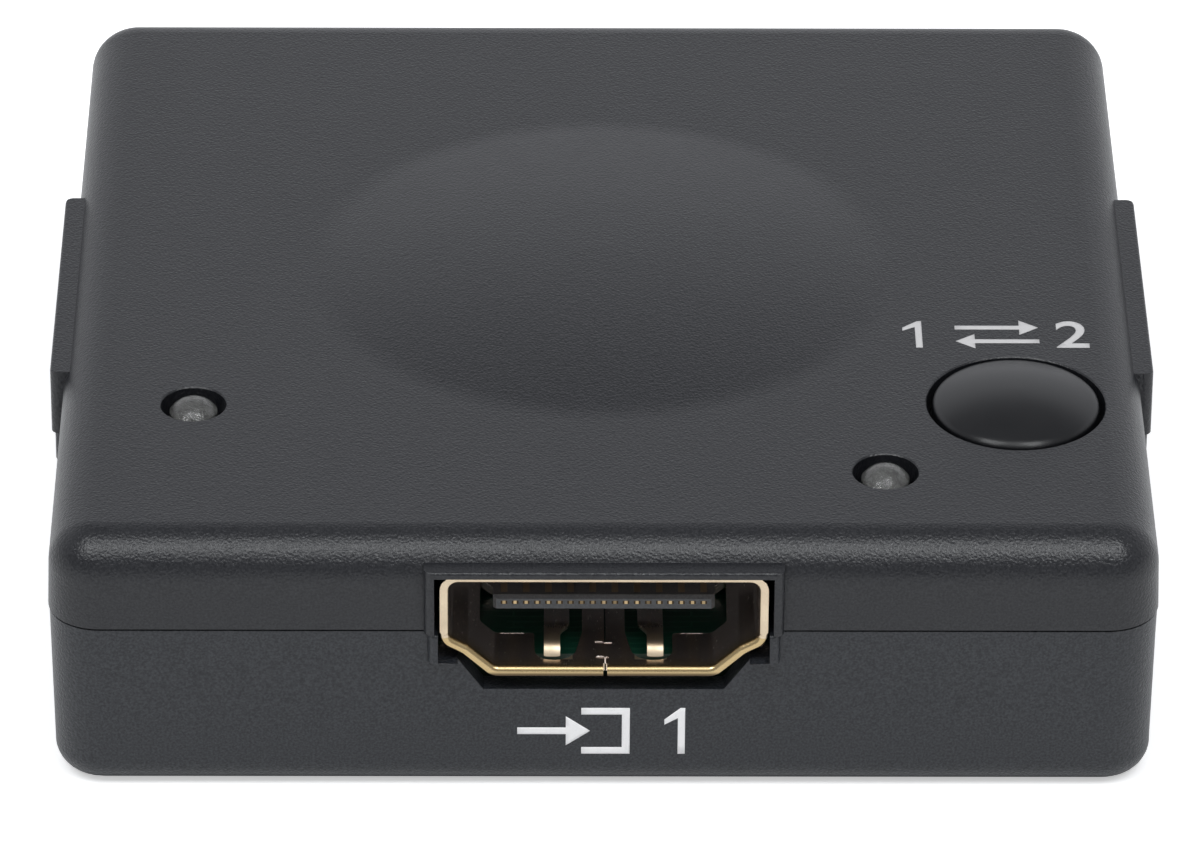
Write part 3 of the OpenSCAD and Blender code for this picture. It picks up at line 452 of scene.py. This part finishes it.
finishes = {
    "case_plastic": makeCasePlastic("casePlastic", casePlastic),
    "button_plastic": makeButtonPlastic(buttonPlastic),
    "shell_gold": makeMetal("shellGold", metals["shellGold"]),
    "contact_gold": makeContactGold("contactGold", contactGold, "X"),
    "plated_steel": makeMetal("platedSteel", metals["platedSteel"]),
    "tongue_plastic": makeMoulded("tonguePlastic", moulded["tonguePlastic"]),
    "chip_plastic": makeMoulded("chipPlastic", moulded["chipPlastic"]),
    "ceramic_tan": makeMoulded("ceramicTan", moulded["ceramicTan"]),
    "board_green": makeBoardGreen(boardGreen),
    "lamp_clear": makeLampClear(lampClear),
}
wallPrint = makePrintWhite("printWhite", printWhite)
topPrintShaded = makePrintWhite("topWhiteShaded", topWhiteShaded)
sideContacts = makeContactGold("sideContactGold", contactGold, "Y")
ownFinishes = {
    "bottom_cover": makeCasePlastic("lowPlastic", lowPlastic),
    "left_port_contacts": sideContacts,
    "right_port_contacts": sideContacts,
}

# every CAD node takes the finish of its slot, or its own
for subpart in frame["record"]["subparts"]:
    node = nodes[subpart["node"]]
    node.data.materials.clear()
    node.data.materials.append(ownFinishes.get(subpart["node"], finishes[subpart["material_slot"]]))
print("finishes made:", len(bpy.data.materials))


smoothAngle = 35        # degrees
tinyGap = 0.0005        # millimetres, for merging points and picking a row of them
cutGap = 0.0001


# helpers for modelling: pick by place, then act with an operator
def beginPiece(name):
    bpy.context.object.name = name
    bpy.ops.object.transform_apply(location=True, rotation=True, scale=True)
    return bpy.context.object


def addCube(name, low, high):       # a cube between two corners, in millimetres
    bpy.ops.object.select_all(action="DESELECT")
    low, high = Vector(low), Vector(high)
    bpy.ops.mesh.primitive_cube_add(size=1, location=(low + high) / 2, scale=high - low)
    return beginPiece(name)


def editPiece(piece):
    bpy.context.view_layer.objects.active = piece
    bpy.ops.object.mode_set(mode="EDIT")


def leaveEdit():
    bpy.ops.object.mode_set(mode="OBJECT")


def pickVerts(piece, test):
    bpy.ops.mesh.select_mode(type="VERT")
    bpy.ops.mesh.select_all(action="DESELECT")
    mesh = bmesh.from_edit_mesh(piece.data)
    for vert in mesh.verts:
        vert.select_set(test(vert.co))
    mesh.select_flush_mode()
    bmesh.update_edit_mesh(piece.data)


def pickEdges(piece, test):         # test gets both ends of an edge
    bpy.ops.mesh.select_mode(type="EDGE")
    bpy.ops.mesh.select_all(action="DESELECT")
    mesh = bmesh.from_edit_mesh(piece.data)
    for edge in mesh.edges:
        if test(edge.verts[0].co, edge.verts[1].co):
            edge.select_set(True)
    mesh.select_flush_mode()
    bmesh.update_edit_mesh(piece.data)


def pickFaces(piece, test):         # test gets the middle and the normal of a face
    bpy.ops.mesh.select_mode(type="FACE")
    bpy.ops.mesh.select_all(action="DESELECT")
    mesh = bmesh.from_edit_mesh(piece.data)
    for face in mesh.faces:
        if test(face.calc_center_median(), face.normal):
            face.select_set(True)
    mesh.select_flush_mode()
    bmesh.update_edit_mesh(piece.data)


def near(first, second, slack=0.002):
    return abs(first - second) < slack


def traceLine(name, points):        # a plane is merged to one point, which is drawn out along the line
    bpy.ops.object.select_all(action="DESELECT")
    bpy.ops.mesh.primitive_plane_add(size=1, location=points[0])
    piece = beginPiece(name)
    editPiece(piece)
    bpy.ops.mesh.select_mode(type="VERT")
    bpy.ops.mesh.select_all(action="SELECT")
    bpy.ops.mesh.merge(type="CENTER")
    for start, end in zip(points, points[1:]):
        step = tuple(Vector(end) - Vector(start))
        bpy.ops.mesh.extrude_region_move(TRANSFORM_OT_translate={"value": step})
    return piece


def traceShape(name, points, pull=None):        # a closed outline, filled, and pulled out to a solid
    piece = traceLine(name, points)
    bpy.ops.mesh.select_all(action="SELECT")
    bpy.ops.mesh.edge_face_add()
    if pull is not None:
        bpy.ops.mesh.extrude_region_move(TRANSFORM_OT_translate={"value": pull})
        bpy.ops.mesh.select_all(action="SELECT")
        bpy.ops.mesh.normals_make_consistent(inside=False)
    return piece


def applyModifier(piece, kind, **settings):
    bpy.context.view_layer.objects.active = piece
    modifier = piece.modifiers.new(kind, kind)
    for key, value in settings.items():
        setattr(modifier, key, value)
    bpy.ops.object.modifier_apply(modifier=modifier.name)


def selectOnly(*pieces):
    bpy.ops.object.select_all(action="DESELECT")
    for piece in pieces:
        piece.select_set(True)
    bpy.context.view_layer.objects.active = pieces[0]


def copyPiece(piece, name):
    selectOnly(piece)
    bpy.ops.object.duplicate(linked=False)
    bpy.context.object.name = name
    return bpy.context.object


def cutWith(piece, cutter):
    applyModifier(piece, "BOOLEAN", object=cutter, operation="DIFFERENCE", solver="EXACT")
    bpy.data.objects.remove(cutter)


def toMetres(piece, angle=smoothAngle):
    selectOnly(piece)
    piece.scale = (mm, mm, mm)
    bpy.ops.object.transform_apply(location=True, rotation=True, scale=True)
    bpy.ops.object.shade_smooth_by_angle(angle=math.radians(angle))


def dress(piece, body, material):
    piece.data.materials.clear()
    piece.data.materials.append(material)
    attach(piece, body)


# socket shell, folded from plated sheet, made at the front socket and copied to the sides
shellSheet = {
    "wide": 14.0, "high": 4.55,                 # inside of the mouth
    "floorWide": 9.8, "kneeWide": 12.24, "kneeHigh": 1.12, "sideHigh": 1.6,
    "cornerRadius": 0.45, "thick": 0.35, "deep": 10.0,
    "rimDeep": 0.5, "rimInner": (0.26, 0.09), "rimOuter": (0.12, 0.20),     # roundings below and above
    "rimFlare": (1.007, 1.0, 1.0305), "rimFlareFrom": 3.916,
    "window": (1.12, 3.12), "windowFront": 0.7, "windowBack": 6.6,
    "floorInner": ((0.97, 6.6), (0.97, 3.0), (1.38, 0.7)),  # the floor windows narrow to the front
    "openFront": 2.95, "openSide": 5.6,
    "windowRound": 0.8, "windowBackRound": 0.15,
    "floorCut": (-1.0, 0.643), "roofCut": (-0.3, 1.0),      # heights of the cut, from the floor and the roof
    "foldSlack": (0.4, 0.05), "rimKnee": 0.18,              # slack at the folds, and the top of the low rim
    "legDepths": (2.95, 7.6), "legWide": 1.2, "legDrop": 2.3, "legRise": 1.0, "legRound": 0.3,
    "smooth": 30,                                           # degrees
}
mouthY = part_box("front_port_shell")[0].y / mm
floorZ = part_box("circuit_board")[1].z / mm + shellSheet["thick"]


def shellPoint(x, y, z):    # from the middle of the mouth's floor to the frame
    return (x, y + mouthY, z + floorZ)


def makeShellWall(values):
    corners = [(values["floorWide"] / 2, 0), (values["kneeWide"] / 2, values["kneeHigh"]),
               (values["wide"] / 2, values["sideHigh"]), (values["wide"] / 2, values["high"])]
    line = [(0, 0)] + corners + [(0, values["high"])]
    wall = traceLine("socketShell", [shellPoint(x, 0, z) for x, z in line])
    bpy.ops.mesh.select_all(action="SELECT")
    bpy.ops.mesh.extrude_region_move(TRANSFORM_OT_translate={"value": (0, values["deep"], 0)})
    for before, corner, after in zip(line, corners, line[2:]):     # round each fold
        turn = (Vector(corner) - Vector(before)).angle(Vector(after) - Vector(corner))
        place = Vector(shellPoint(corner[0], 0, corner[1]))
        pickEdges(wall, lambda a, b: all(near(p.x, place.x) and near(p.z, place.z) for p in (a, b)))
        bpy.ops.mesh.bevel(offset=values["cornerRadius"] * math.tan(turn / 2), segments=6, affect="EDGES")
    leaveEdit()
    applyModifier(wall, "MIRROR", use_axis=(True, False, False), merge_threshold=0.001)
    editPiece(wall)
    bpy.ops.mesh.select_all(action="SELECT")
    bpy.ops.mesh.remove_doubles(threshold=tinyGap)
    bpy.ops.mesh.normals_make_consistent(inside=False)
    leaveEdit()
    applyModifier(wall, "SOLIDIFY", thickness=values["thick"], offset=1, use_even_offset=True)
    editPiece(wall)
    bpy.ops.mesh.select_all(action="SELECT")
    bpy.ops.mesh.bisect(plane_co=shellPoint(0, values["rimDeep"], 0), plane_no=(0, 1, 0), threshold=cutGap)
    # the rim: flared outwards, more below than above, and its inner and outer edge rounded apart
    outside = values["thick"] * 0.5
    under, over = values["foldSlack"]

    def isOutsideFold(x, z):
        for (ax, az), (bx, bz) in zip(line[1:3], line[2:4]):
            along = Vector((bx - ax, bz - az)).normalized()
            reach = (x - ax) * along.y - (z - az) * along.x
            if az - under <= z <= bz + over and reach > outside:
                return True
        return False

    def isOuter(p):
        x, z = abs(p.x), p.z - floorZ
        return (z < -outside or z > values["high"] + outside or x > values["wide"] / 2 + outside
                or isOutsideFold(x, z))

    pickVerts(wall, lambda p: near(p.y, mouthY) and isOuter(p))
    flareFrom = shellPoint(0, 0, values["rimFlareFrom"])
    bpy.ops.transform.resize(value=values["rimFlare"], center_override=flareFrom)
    knee = floorZ + values["sideHigh"] + values["rimKnee"]
    for isEdge, sizes in ((isOuter, values["rimOuter"]), (lambda p: not isOuter(p), values["rimInner"])):
        for size, below in zip(sizes, (True, False)):
            pickEdges(wall, lambda a, b: all(near(p.y, mouthY) and isEdge(p) for p in (a, b))
                      and (min(a.z, b.z) < knee) == below)
            bpy.ops.mesh.bevel(offset=size, segments=5, affect="EDGES", clamp_overlap=True)
    leaveEdit()
    return wall


def makeWindowCutter(values, floor):
    inner, outer = values["window"]
    front, back = values["windowFront"], values["windowBack"]
    if floor:
        points = [values["floorInner"][-1], (outer, front), (outer, values["openFront"]),
                  (values["openSide"], values["openFront"]), (values["openSide"], back),
                  *values["floorInner"][:-1]]
    else:
        points = [(inner, front), (outer, front), (outer, back), (inner, back)]
    low, high = values["floorCut"] if floor else [values["high"] + step for step in values["roofCut"]]
    cutter = traceShape("windowCutter", [shellPoint(x, y, low) for x, y in points], (0, 0, high - low))
    pickEdges(cutter, lambda a, b: not near(a.z, b.z) and near(a.y, front + mouthY))
    bpy.ops.mesh.bevel(offset=values["windowRound"], segments=6, affect="EDGES")
    pickEdges(cutter, lambda a, b: not near(a.z, b.z) and a.y > mouthY + values["openFront"] - 0.01)
    bpy.ops.mesh.bevel(offset=values["windowBackRound"], segments=3, affect="EDGES")
    leaveEdit()
    return cutter


def mirrorPiece(piece, axis, about=0.0):
    selectOnly(piece)
    scale = [1.0, 1.0, 1.0]
    scale[axis] = -1.0
    piece.scale = scale
    piece.location[axis] = 2 * about
    bpy.ops.object.transform_apply(location=True, rotation=True, scale=True)
    editPiece(piece)
    bpy.ops.mesh.select_all(action="SELECT")
    bpy.ops.mesh.normals_make_consistent(inside=False)
    leaveEdit()


# seam in the floor of the shell, with its puzzle lock, and the raised edges of the cuts
shellSeam = {
    "slit": 0.06, "x": 0.07, "lockFront": 0.9, "lockBack": 2.14,
    "front": (-0.32, 0.20), "back": (-0.38, 0.38),
    "gape": (-0.02, 0.16, 0.4),                             # the seam gapes at the rim
    "start": -0.5, "end": 6.6, "cut": (-1.0, 0.4),          # depths of its ends, and heights of the cut
    "edgeDeep": 0.05, "edgeSink": 0.05, "edgeRound": 0.6,
    "edges": [      # from x, to x, depth of the near side, height
        (-0.32, 0.02, 0.94, 0.045), (0.10, 0.20, 0.90, 0.035),
        (-0.38, -0.04, 2.18, 0.045), (0.02, 0.38, 2.10, 0.04),
        (3.5, 4.5, 2.90, 0.02), (-4.7, -3.6, 2.90, 0.02),
    ],
}


def cutSeam(wall, values):
    half = values["slit"] / 2
    left, right, deep = values["gape"]
    middle, front, back = values["x"], values["lockFront"], values["lockBack"]
    start, end = values["start"], values["end"]
    runs = [((left, start), (right, deep)),
            ((middle - half, start), (middle + half, front)),
            ((values["front"][0], front - half), (values["front"][1], front + half)),
            ((values["back"][0], back - half), (values["back"][1], back + half)),
            ((middle - half, back), (middle + half, end))]
    bottom, top = values["cut"]
    for low, high in runs:
        cutWith(wall, addCube("seamCutter", shellPoint(*low, bottom), shellPoint(*high, top)))


def makeRaisedEdge(values, left, right, depth, high):
    edge = addCube("raisedEdge", shellPoint(left, depth, -values["edgeSink"]),
                   shellPoint(right, depth + values["edgeDeep"], high))
    editPiece(edge)
    pickEdges(edge, lambda a, b: near(a.z, floorZ + high) and near(b.z, floorZ + high))
    bpy.ops.mesh.bevel(offset=high * values["edgeRound"], segments=3, affect="EDGES")
    leaveEdit()
    return edge


# contact springs of the shell: a strip that rises to a rounded bump and falls to its tip
shellSpring = {
    "outer": 2.70, "rootWide": 1.16, "tipWide": 0.74,
    "tip": 0.88, "bump": 1.6, "root": 6.6, "bumpHigh": 0.55, "tipHigh": 0.05, "thick": 0.2,
    "neck": (2.2, 3.1), "rows": 32, "rowCurve": 1.6, "tipCurve": 2.6, "rootLap": 0.3,
    "tipRound": 0.30, "edgeRound": 0.03, "edgeAngle": 50,       # degrees
}


def makeSpring(values):
    def rise(depth):
        if depth >= values["bump"]:
            share = max(0.0, (values["root"] - depth) / (values["root"] - values["bump"]))
            return values["bumpHigh"] * (1.5 * share - 0.5 * share ** 3)
        share = (values["bump"] - depth) / (values["bump"] - values["tip"])
        return values["bumpHigh"] - (values["bumpHigh"] - values["tipHigh"]) * share ** values["tipCurve"]

    def narrowing(depth):
        front, back = values["neck"]
        share = min(1.0, max(0.0, (back - depth) / (back - front)))
        return (values["rootWide"] - values["tipWide"]) * share * share * (3 - 2 * share)

    inner = values["outer"] - values["rootWide"]
    length = values["root"] + values["rootLap"] - values["tip"]
    bpy.ops.object.select_all(action="DESELECT")
    bpy.ops.mesh.primitive_plane_add(size=1, location=shellPoint(inner + values["rootWide"] / 2,
                                                                 values["tip"] + length / 2, 0))
    bpy.context.object.scale = (values["rootWide"], length, 1)
    spring = beginPiece("shellSpring")
    editPiece(spring)
    depths = [values["tip"]]
    for row in range(1, values["rows"]):       # rows lie closer together towards the tip
        depths.append(values["tip"] + length * (row / values["rows"]) ** values["rowCurve"])
    for depth in depths[1:]:
        bpy.ops.mesh.select_all(action="SELECT")
        bpy.ops.mesh.bisect(plane_co=shellPoint(0, depth, 0), plane_no=(0, 1, 0), threshold=cutGap)
    for depth in depths:
        row = depth + mouthY
        pickVerts(spring, lambda p: near(p.y, row, tinyGap) and near(p.x, inner))
        bpy.ops.transform.translate(value=(narrowing(depth), 0, 0))
        pickVerts(spring, lambda p: near(p.y, row, tinyGap))
        bpy.ops.transform.translate(value=(0, 0, rise(depth)))
    pickVerts(spring, lambda p: near(p.y, values["tip"] + mouthY, tinyGap))
    bpy.ops.mesh.bevel(offset=values["tipRound"], segments=4, affect="VERTICES")
    bpy.ops.mesh.select_all(action="SELECT")
    bpy.ops.mesh.normals_make_consistent(inside=False)
    leaveEdit()
    if spring.data.polygons[0].normal.z < 0:
        editPiece(spring)
        bpy.ops.mesh.flip_normals()
        leaveEdit()
    applyModifier(spring, "SOLIDIFY", thickness=values["thick"], offset=-1)
    applyModifier(spring, "BEVEL", width=values["edgeRound"], segments=2, limit_method="ANGLE",
                  angle_limit=math.radians(values["edgeAngle"]))
    return spring


def makeLeg(values, depth):
    side = values["wide"] / 2
    top = values["sideHigh"] + values["legRise"]
    leg = addCube("shellLeg", shellPoint(side, depth, -values["thick"] - values["legDrop"]),
                  shellPoint(side + values["thick"], depth + values["legWide"], top))
    editPiece(leg)
    low = floorZ - values["thick"] - values["legDrop"]
    pickEdges(leg, lambda a, b: near(a.z, low) and near(b.z, low) and near(a.y, b.y))
    bpy.ops.mesh.bevel(offset=values["legRound"], segments=3, affect="EDGES")
    leaveEdit()
    return leg


def makeShell():
    wall = makeShellWall(shellSheet)
    for floor in (True, False):
        cutter = makeWindowCutter(shellSheet, floor)
        other = copyPiece(cutter, "windowCutterLeft")
        mirrorPiece(other, 0)
        cutWith(wall, cutter)
        cutWith(wall, other)
    cutSeam(wall, shellSeam)
    parts = [wall] + [makeRaisedEdge(shellSeam, *run) for run in shellSeam["edges"]]
    spring = makeSpring(shellSpring)
    upper = copyPiece(spring, "shellSpringUp")
    mirrorPiece(upper, 2, floorZ + shellSheet["high"] / 2)
    legs = [makeLeg(shellSheet, depth) for depth in shellSheet["legDepths"]]
    for piece in [spring, upper] + legs:
        other = copyPiece(piece, piece.name + "Left")
        mirrorPiece(other, 0)
        parts += [piece, other]
    selectOnly(*parts)
    bpy.ops.object.join()
    return wall


frontShell = makeShell()
toMetres(frontShell, shellSheet["smooth"])
frontShell.name = "frontSocketShell"
shells = {"front": frontShell}
reach = abs(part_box("left_port_shell")[0].x) + mouthY * mm       # the sides stand a little further out
for side, angle in (("left", -90), ("right", 90)):
    shell = copyPiece(frontShell, side + "SocketShell")
    shell.rotation_euler = (0, 0, math.radians(angle))
    shell.location = (math.copysign(reach, angle), 0, 0)
    bpy.ops.object.transform_apply(location=True, rotation=True, scale=True)
    shells[side] = shell
for side, shell in shells.items():
    dress(shell, "case", finishes["shell_gold"])
    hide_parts(side + "_port_shell")
print("socket shells folded:", len(shells))


# die and reflector cup inside each lamp, with sizes in millimetres
lampInside = {
    "die": 0.32, "dieHigh": 0.14, "dieInset": 0.06, "dieStep": 0.03,
    "cup": 1.1, "cupHigh": 0.22, "cupFlare": (1.12, 1.12, 1), "cupThick": 0.05,
    "below": 1.7, "aside": 0.3175,      # from the top of the lens, and from its middle
}


def makeLampInside(name, lens, values):
    low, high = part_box(lens)
    x, y = (low.x + high.x) / 2 / mm - values["aside"], (low.y + high.y) / 2 / mm
    base = high.z / mm - values["below"]
    half = values["die"] / 2
    die = addCube(name, (x - half, y - half, base), (x + half, y + half, base + values["dieHigh"]))
    editPiece(die)
    pickFaces(die, lambda centre, normal: normal.z > 0.9)
    bpy.ops.mesh.inset(thickness=values["dieInset"])
    bpy.ops.mesh.extrude_region_move(TRANSFORM_OT_translate={"value": (0, 0, values["dieStep"])})
    leaveEdit()
    bpy.ops.object.select_all(action="DESELECT")
    bpy.ops.mesh.primitive_circle_add(vertices=40, radius=values["cup"] / 2, location=(x, y, base))
    cup = beginPiece(name + "Cup")
    editPiece(cup)
    bpy.ops.mesh.select_all(action="SELECT")
    bpy.ops.mesh.extrude_region_move(TRANSFORM_OT_translate={"value": (0, 0, values["cupHigh"])})
    bpy.ops.transform.resize(value=values["cupFlare"], center_override=(x, y, base))
    leaveEdit()
    applyModifier(cup, "SOLIDIFY", thickness=values["cupThick"], offset=0)
    selectOnly(die, cup)
    bpy.ops.object.join()
    toMetres(die)
    return die


for side in ("left", "right"):
    inside = makeLampInside(side + "LampDie", side + "_lamp_lens", lampInside)
    dress(inside, "case", finishes["plated_steel"])
print("lamps filled: 2")


# snap dome of the switch, which flattens under the plunger
dome = bpy.data.objects.new("snapDome", nodes["tact_snap_dome"].data.copy())
bpy.context.collection.objects.link(dome)
selectOnly(dome)
editPiece(dome)
bpy.ops.mesh.select_all(action="SELECT")
bpy.ops.mesh.remove_doubles(threshold=tinyGap * mm)
leaveEdit()
bpy.ops.object.shade_smooth_by_angle(angle=math.radians(smoothAngle))
dress(dome, "case", finishes["plated_steel"])
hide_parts("tact_snap_dome")
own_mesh(dome)
print("snap dome laid: 1")


# white marks under the sockets: an arrow into or out of a bracket, and a number, with sizes in millimetres
marks = {
    "thick": 0.012, "lift": 0.002, "stroke": 0.36, "high": 2.5,
    "arrow": (3.3, 1.1), "headWide": 0.72, "bracket": (2.2, 2.5), "twoBold": 0.012,
    "inArrow": -2.25, "inBracket": 0.1, "one": 3.54, "two": 3.1,
    "outBracket": -1.4, "outArrow": 1.0,
    "front": (0, -24.95, 3.15), "left": (-25.05, 0, 3.15), "right": (25.05, 0, 3.15),
}
# the mark over the button: two arrows between two numbers
selectMark = {
    "stroke": 0.34, "high": 2.4, "arrow": (3.9, 0.9), "arrowOff": 0.62, "one": -3.65, "two": 3.5,
    "place": (18.4, -6.25, 13.05),
}


def makeOne(high):          # stands about the origin in the x-y plane, in millimetres
    outline = [(0.066, -0.5), (0.066, 0.5), (-0.02, 0.5), (-0.31, 0.25), (-0.31, 0.135),
               (-0.066, 0.28), (-0.066, -0.5)]
    numeral = traceShape("one", [(x * high, y * high, 0) for x, y in outline])
    leaveEdit()
    return numeral


def makeTwo(high):
    bpy.ops.object.select_all(action="DESELECT")
    bpy.ops.object.text_add(location=(0, 0, 0))
    numeral = bpy.context.object
    numeral.data.body = "2"
    numeral.data.align_x = "CENTER"
    numeral.data.align_y = "CENTER"
    numeral.data.resolution_u = 8
    numeral.data.offset = marks["twoBold"]
    bpy.ops.object.convert(target="MESH")
    numeral = bpy.context.object
    numeral.scale = (high / numeral.dimensions.y,) * 3
    bpy.ops.object.transform_apply(location=True, rotation=True, scale=True)
    bpy.ops.object.origin_set(type="ORIGIN_GEOMETRY", center="BOUNDS")
    return numeral


def makeArrow(length, head, stroke):        # along +x about the origin
    tip, back = length / 2, -length / 2
    neck, wing = tip - head, head * marks["headWide"]
    points = [(back, -stroke / 2, 0), (neck, -stroke / 2, 0), (neck, -wing, 0), (tip, 0, 0),
              (neck, wing, 0), (neck, stroke / 2, 0), (back, stroke / 2, 0)]
    arrow = traceShape("arrow", points)
    leaveEdit()
    return arrow


def makeBracket(wide, high, stroke):        # open to the left, about the origin
    right, left = wide / 2, -wide / 2
    top = high / 2
    points = [(left, -top, 0), (right, -top, 0), (right, top, 0), (left, top, 0), (left, top - stroke, 0),
              (right - stroke, top - stroke, 0), (right - stroke, stroke - top, 0), (left, stroke - top, 0)]
    bracket = traceShape("bracket", points)
    leaveEdit()
    return bracket


def layMark(name, parts, place, turn, target, material):
    # parts are (piece, x, y, half turns) on the mark's own plane, which is turned and laid on the target
    for piece, x, y, halves in parts:
        piece.location = (x, y, 0)
        piece.rotation_euler = (0, 0, halves * math.pi)
    selectOnly(*[part[0] for part in parts])
    bpy.ops.object.transform_apply(location=True, rotation=True, scale=True)
    bpy.ops.object.join()
    mark = bpy.context.object
    mark.name = name
    editPiece(mark)
    bpy.ops.mesh.select_all(action="SELECT")
    bpy.ops.mesh.quads_convert_to_tris()
    for cut in range(2):
        bpy.ops.mesh.subdivide(number_cuts=1)
    leaveEdit()
    mark.rotation_euler = turn
    mark.location = place
    bpy.ops.object.transform_apply(location=True, rotation=True, scale=True)
    toMetres(mark)
    applyModifier(mark, "SHRINKWRAP", target=target, wrap_method="NEAREST_SURFACEPOINT",
                  wrap_mode="ABOVE_SURFACE", offset=marks["lift"] * mm)
    editPiece(mark)
    bpy.ops.mesh.select_all(action="SELECT")
    bpy.ops.mesh.normals_make_consistent(inside=False)
    leaveEdit()
    applyModifier(mark, "SOLIDIFY", thickness=marks["thick"] * mm, offset=0)
    dress(mark, "case", material)


quarter = math.pi / 2
stroke = marks["stroke"]


def makeInward(makeNumber, x):      # an arrow into a bracket, and a number
    return [(makeArrow(*marks["arrow"], stroke), marks["inArrow"], 0, 0),
            (makeBracket(*marks["bracket"], stroke), marks["inBracket"], 0, 0),
            (makeNumber(marks["high"]), x, 0, 0)]


layMark("markFront", makeInward(makeOne, marks["one"]), marks["front"], (quarter, 0, 0),
        nodes["bottom_cover"], wallPrint)
layMark("markLeft", makeInward(makeTwo, marks["two"]), marks["left"], (quarter, 0, -quarter),
        nodes["bottom_cover"], wallPrint)
outward = [(makeBracket(*marks["bracket"], stroke), marks["outBracket"], 0, 1),
           (makeArrow(*marks["arrow"], stroke), marks["outArrow"], 0, 0)]
layMark("markRight", outward, marks["right"], (quarter, 0, quarter), nodes["bottom_cover"], wallPrint)
overButton = [(makeOne(selectMark["high"]), selectMark["one"], 0, 0)]
for y, halves in ((selectMark["arrowOff"], 0), (-selectMark["arrowOff"], 1)):
    overButton.append((makeArrow(*selectMark["arrow"], selectMark["stroke"]), 0, y, halves))
overButton.append((makeTwo(selectMark["high"]), selectMark["two"], 0, 0))
layMark("markSelect", overButton, selectMark["place"], (0, 0, 0), nodes["top_cover"], topPrintShaded)
print("marks laid: 4")

# floor: paper that is white to the camera where nothing shades it
floorTone = {
    "colour": 0.95, "shade": 0.98, "rough": 0.9, "shine": 0.1, "glow": 0.47, "mirrorGlow": 0.01,
    "fibre": 1.5,                           # millimetres
    "wide": 6.0, "drop": 0.02 * mm,         # metres
}
bpy.ops.object.select_all(action="DESELECT")
bpy.ops.mesh.primitive_plane_add(size=floorTone["wide"], location=(0, 0, -floorTone["drop"]))
floor = bpy.context.object
floor.name = "floor"
material, tree, shader, coords = startMaterial("floorPaper")
grey = floorTone["colour"]
fibres = addNoise(tree, coords, floorTone["fibre"], detail=3.0)
paper = addRamp(tree, fibres, [(0.0, grey * floorTone["shade"]), (1.0, grey)])
tree.links.new(paper, shader.inputs["Base Color"])
shader.inputs["Roughness"].default_value = floorTone["rough"]
shader.inputs["Specular IOR Level"].default_value = floorTone["shine"]
path = addNode(tree, "ShaderNodeLightPath")
mirrored = addMath(tree, "MAXIMUM", path.outputs["Is Glossy Ray"], path.outputs["Is Transmission Ray"])
glow = addMath(tree, "MULTIPLY_ADD", path.outputs["Is Camera Ray"], floorTone["glow"],
               addMath(tree, "MULTIPLY", mirrored, floorTone["mirrorGlow"]))
shader.inputs["Emission Color"].default_value = (1, 1, 1, 1)
tree.links.new(glow, shader.inputs["Emission Strength"])
floor.data.materials.append(material)
print("floor laid")

# studio: levels of the room by height, behind and in front of the object
studio = {      # (degrees above level, level)
    "behind": [(0, 0.66), (16, 0.71), (28, 0.78), (34, 0.76), (38, 0.62), (43, 0.38), (52, 0.30), (64, 0.32),
               (90, 0.40)],
    "before": [(0, 0.32), (8, 0.36), (15, 0.35), (25, 0.33), (38, 0.35), (64, 0.40), (90, 0.40)],
    "tint": (0.98, 0.995, 1.04),
    "blend": [(0.35, 0.0), (0.65, 1.0)],        # from before to behind
}


def levelStops(stops):
    return [(climb / 90, tuple(level * c for c in studio["tint"])) for climb, level in stops]


world = bpy.data.worlds.new("studio")
bpy.context.scene.world = world
world.use_nodes = True
tree = world.node_tree
direction = addNode(tree, "ShaderNodeTexCoord")
parts = addNode(tree, "ShaderNodeSeparateXYZ")
tree.links.new(direction.outputs["Generated"], parts.inputs["Vector"])
height = addMath(tree, "MULTIPLY", addMath(tree, "ARCSINE", parts.outputs["Z"]), 2 / math.pi)
behind = addRamp(tree, height, levelStops(studio["behind"]))
before = addRamp(tree, height, levelStops(studio["before"]))
share = addRamp(tree, addMath(tree, "MULTIPLY_ADD", parts.outputs["Y"], 0.5, 0.5), studio["blend"])
room = addMix(tree, share, before, behind)
path = addNode(tree, "ShaderNodeLightPath")
tree.links.new(addMix(tree, path.outputs["Is Camera Ray"], room, (1.0, 1.0, 1.0)),
               tree.nodes["Background"].inputs["Color"])

# soft boxes: one wide one over the camera, and one to each side of it
boxColour = (0.97, 0.99, 1.0)
boxAway = 0.8       # metres
softBoxes = {
    "over": {"azimuth": 0, "height": 68, "wide": 0.5, "tall": 0.62, "level": 1.30},
    "left": {"azimuth": -46, "height": 58, "wide": 0.2, "tall": 0.34, "level": 8.0},
    "right": {"azimuth": 36, "height": 58, "wide": 0.2, "tall": 0.34, "level": 8.0},
}
for name, box in softBoxes.items():
    turn, climb = math.radians(box["azimuth"]), math.radians(box["height"])
    towards = Vector((math.sin(turn) * math.cos(climb), -math.cos(turn) * math.cos(climb), math.sin(climb)))
    facing = towards.to_track_quat("Z", "Y").to_euler()
    bpy.ops.object.light_add(type="AREA", location=towards * boxAway, rotation=facing)
    lamp = bpy.context.object
    lamp.name = name + "SoftBox"
    lamp.data.shape = "RECTANGLE"
    lamp.data.size, lamp.data.size_y = box["wide"], box["tall"]
    lamp.data.energy = box["level"] * math.pi * box["wide"] * box["tall"]
    lamp.data.color = boxColour
    lamp.visible_camera = False
bpy.context.scene.view_settings.view_transform = "Standard"
print("studio lit:", len(softBoxes), "soft boxes")
